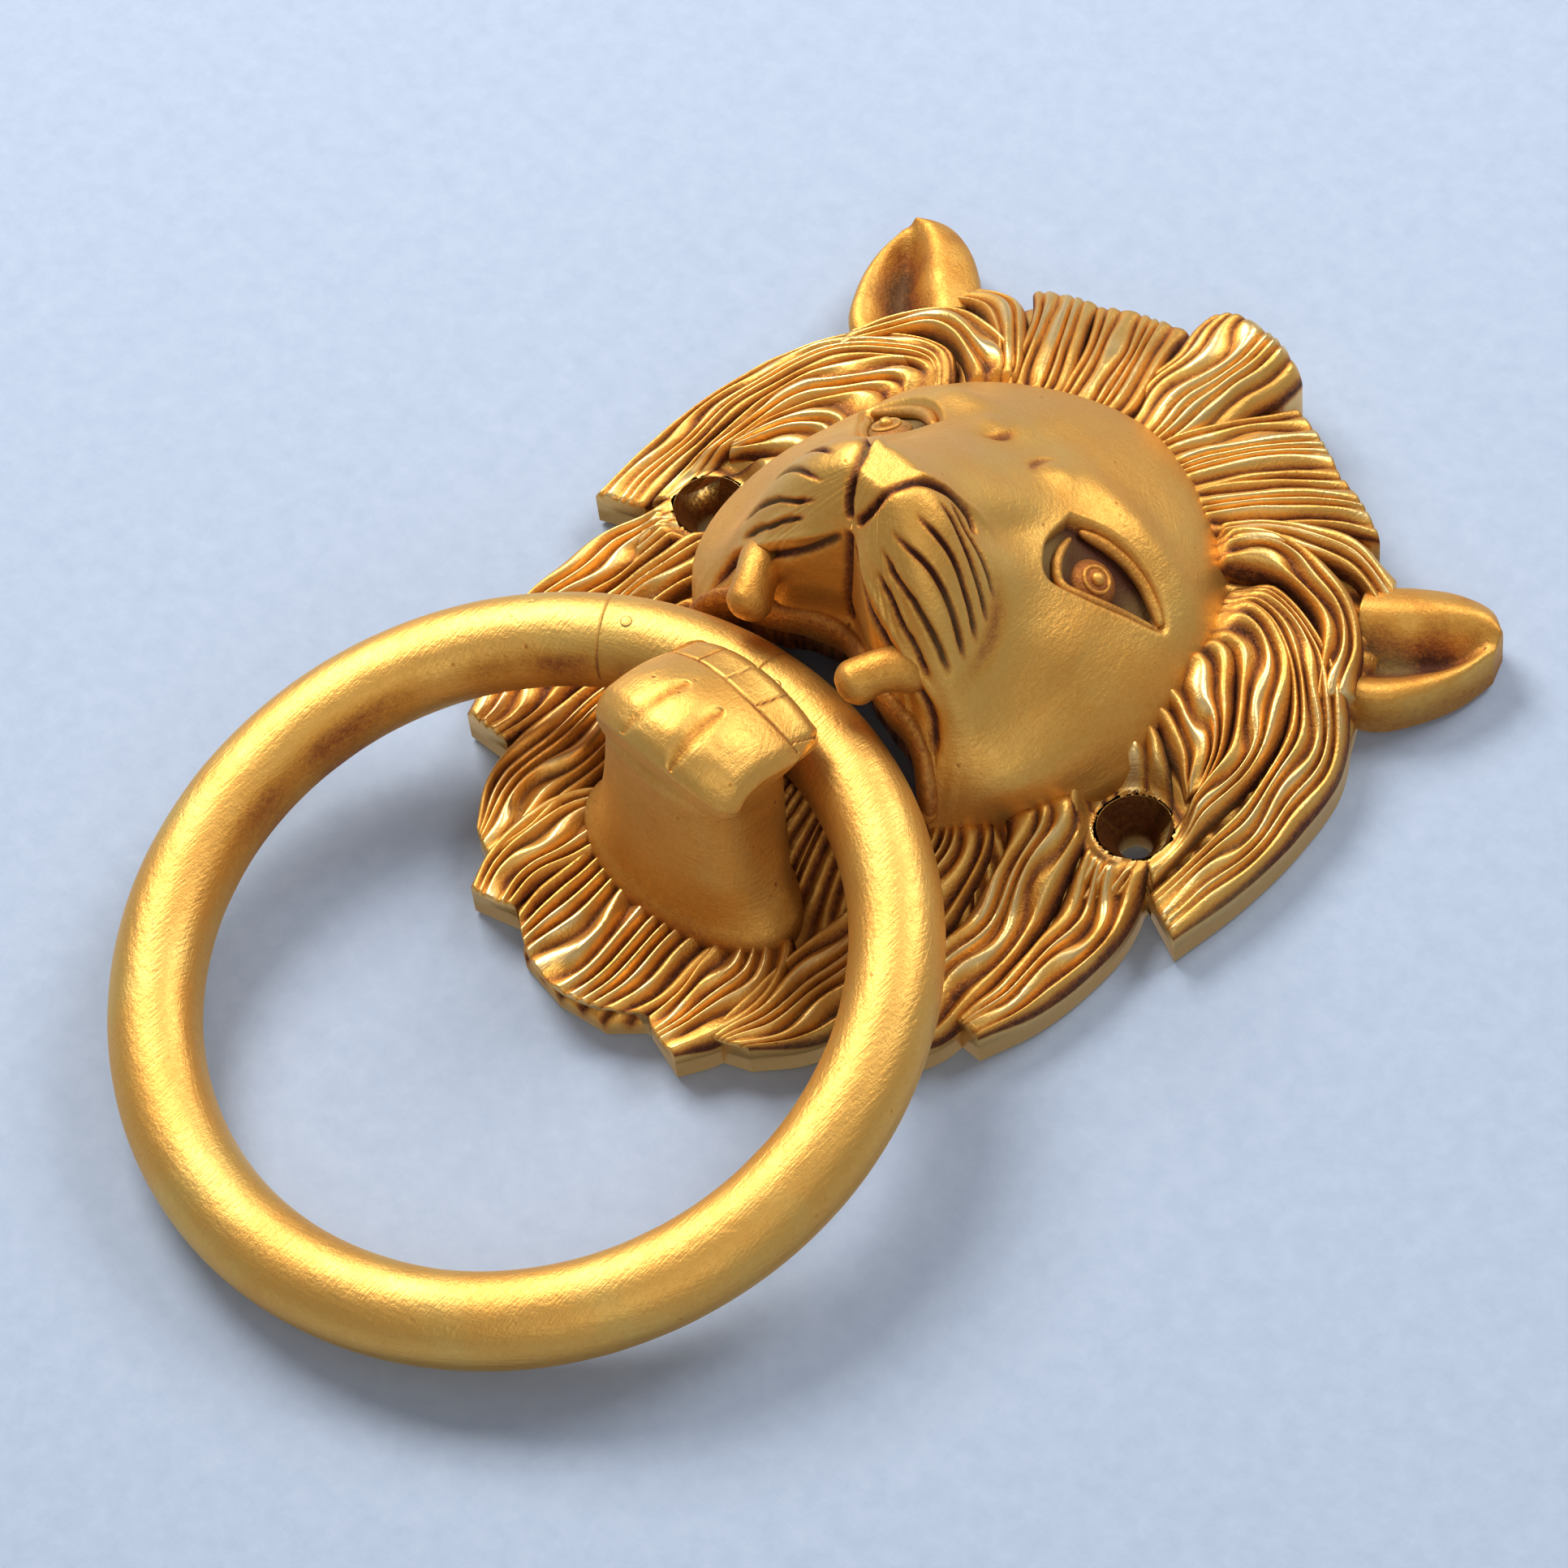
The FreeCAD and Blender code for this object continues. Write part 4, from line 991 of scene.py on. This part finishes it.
def buildRing():
    a, b, lap, gap = ring["linkStart"], ring["linkStart"] + ring["linkSweep"], ring["lap"], ring["seam"]
    rows, grime_and_shade = barRows(b + gap, b - lap + gap, a + lap + 360 - gap, a + 360 - gap, 620)
    dressed(sculpted("ring_bar", rows, grime_and_shade), "ring", "ring", ["ring_main"])
    rows, grime_and_shade = barRows(a + lap + gap, a + gap, b - gap, b - lap - gap, 70)
    dressed(sculpted("ring_closing_link", rows, grime_and_shade), "ring", "ring", ["ring_link"])
    pieces = []
    heights, turns = np.array(rivet), np.linspace(0, 2 * np.pi, 33)
    for at in (a + lap / 2, b - lap / 2):
        turn = math.radians(at)
        spot = ring["radius"] * math.cos(turn), ring["radius"] * math.sin(turn)
        rows = np.stack([spot[0] + heights[:, 1:] * np.cos(turns), spot[1] + heights[:, 1:] * np.sin(turns),
                         np.repeat(heights[:, :1], len(turns), axis=1)], -1)
        patina_and_shade = np.interp(heights[:, 1], (0, 0.8, 0.9, 1.05), (0.1, 0.15, 0.9, 1.0))[:, None]
        pieces.append(sculpted("pin", ringHome(rows), patina_and_shade))
    dressed(joined("ring_rivets", pieces), "ring", "ring", ["ring_pins"])


# build all

tool = drill()
buildPlate(tool)
buildLocks(tool)
bpy.data.objects.remove(tool, do_unlink=True)
buildCrest()
surface = buildFace()
buildLips(surface)
for side, word in ((-1, "left"), (1, "right")):
    buildEye(surface, side, word)
    buildFang(side, word)
    buildEar(side, word)
buildJaw()
buildRing()


# paper, light and camera

def paper():
    bpy.ops.mesh.primitive_plane_add(size=4, location=(0, 0.0006, 0), rotation=(math.radians(90), 0, 0))
    floor = bpy.context.object
    floor.name = "paper_floor"
    material = bpy.data.materials.new("paleBluePaper")
    material.use_nodes = True
    tree = material.node_tree
    shader = tree.nodes["Principled BSDF"]
    where = node(tree, "ShaderNodeTexCoord").outputs["Object"]
    tone = ramp(tree, ((0.3, (0.35, 0.42, 0.54)), (0.7, (0.40, 0.47, 0.59))), noise(tree, where, 260, 6, 0.7))
    wire(tree, (tone.outputs["Color"], shader.inputs["Base Color"]))
    shader.inputs["Roughness"].default_value = 0.9
    bump = node(tree, "ShaderNodeBump", Strength=0.25, Distance=0.0003)
    wire(tree, (noise(tree, where, 420, 5, 0.7), bump.inputs["Height"]),
         (bump.outputs["Normal"], shader.inputs["Normal"]))
    clear, mix = node(tree, "ShaderNodeBsdfTransparent"), node(tree, "ShaderNodeMixShader")
    behind = node(tree, "ShaderNodeNewGeometry").outputs["Backfacing"]
    closeBy = maths(tree, "LESS_THAN", node(tree, "ShaderNodeLightPath").outputs["Ray Length"], 0.004)
    hidden = maths(tree, "MAXIMUM", behind, closeBy)  # lets light in under the back of the casting
    wire(tree, (hidden, mix.inputs[0]), (shader.outputs[0], mix.inputs[1]), (clear.outputs[0], mix.inputs[2]),
         (mix.outputs[0], tree.nodes["Material Output"].inputs["Surface"]))
    floor.data.materials.append(material)


def softLight(name, place, size, watts, colour=(1, 1, 1)):
    light = bpy.data.lights.new(name, "AREA")
    light.shape, light.size, light.energy, light.color = "DISK", size, watts, colour
    lamp = bpy.data.objects.new(name, light)
    bpy.context.scene.collection.objects.link(lamp)
    lamp.location = place
    lamp.rotation_euler = (Vector((0, 0, -0.02)) - Vector(place)).to_track_quat("-Z", "Y").to_euler()


def world():
    sky = bpy.data.worlds.new("studio")
    bpy.context.scene.world = sky
    sky.use_nodes = True
    sky.node_tree.nodes["Background"].inputs["Color"].default_value = (0.70, 0.71, 0.74, 1)
    sky.node_tree.nodes["Background"].inputs["Strength"].default_value = 0.45


def camera():
    shot = bpy.data.cameras.new("shot")
    shot.sensor_width, shot.lens = 36, 130.43
    shot.clip_start, shot.clip_end = 0.01, 20
    holder = bpy.data.objects.new("shot", shot)
    bpy.context.scene.collection.objects.link(holder)
    right, down = Vector((0.70031, 0.0801, 0.70933)), Vector((0.54867, 0.57527, -0.60666))
    back = right.cross(-down)
    turn = Matrix((right, -down, back)).transposed().to_4x4()
    holder.matrix_world = Matrix.Translation((0.365689, -0.658573, -0.314393)) @ turn
    bpy.context.scene.camera = holder
    bpy.context.scene.view_settings.view_transform = "Standard"


paper()
softLight("leftWindow", (-0.75, -0.85, 0.15), 0.6, 13, (1, 0.98, 0.95))
softLight("topFill", (0.15, -0.9, 0.85), 0.6, 8, (0.98, 0.99, 1))
softLight("lowFill", (0.7, -0.7, -0.5), 0.8, 2)
world()
camera()
bpy.context.view_layer.update()
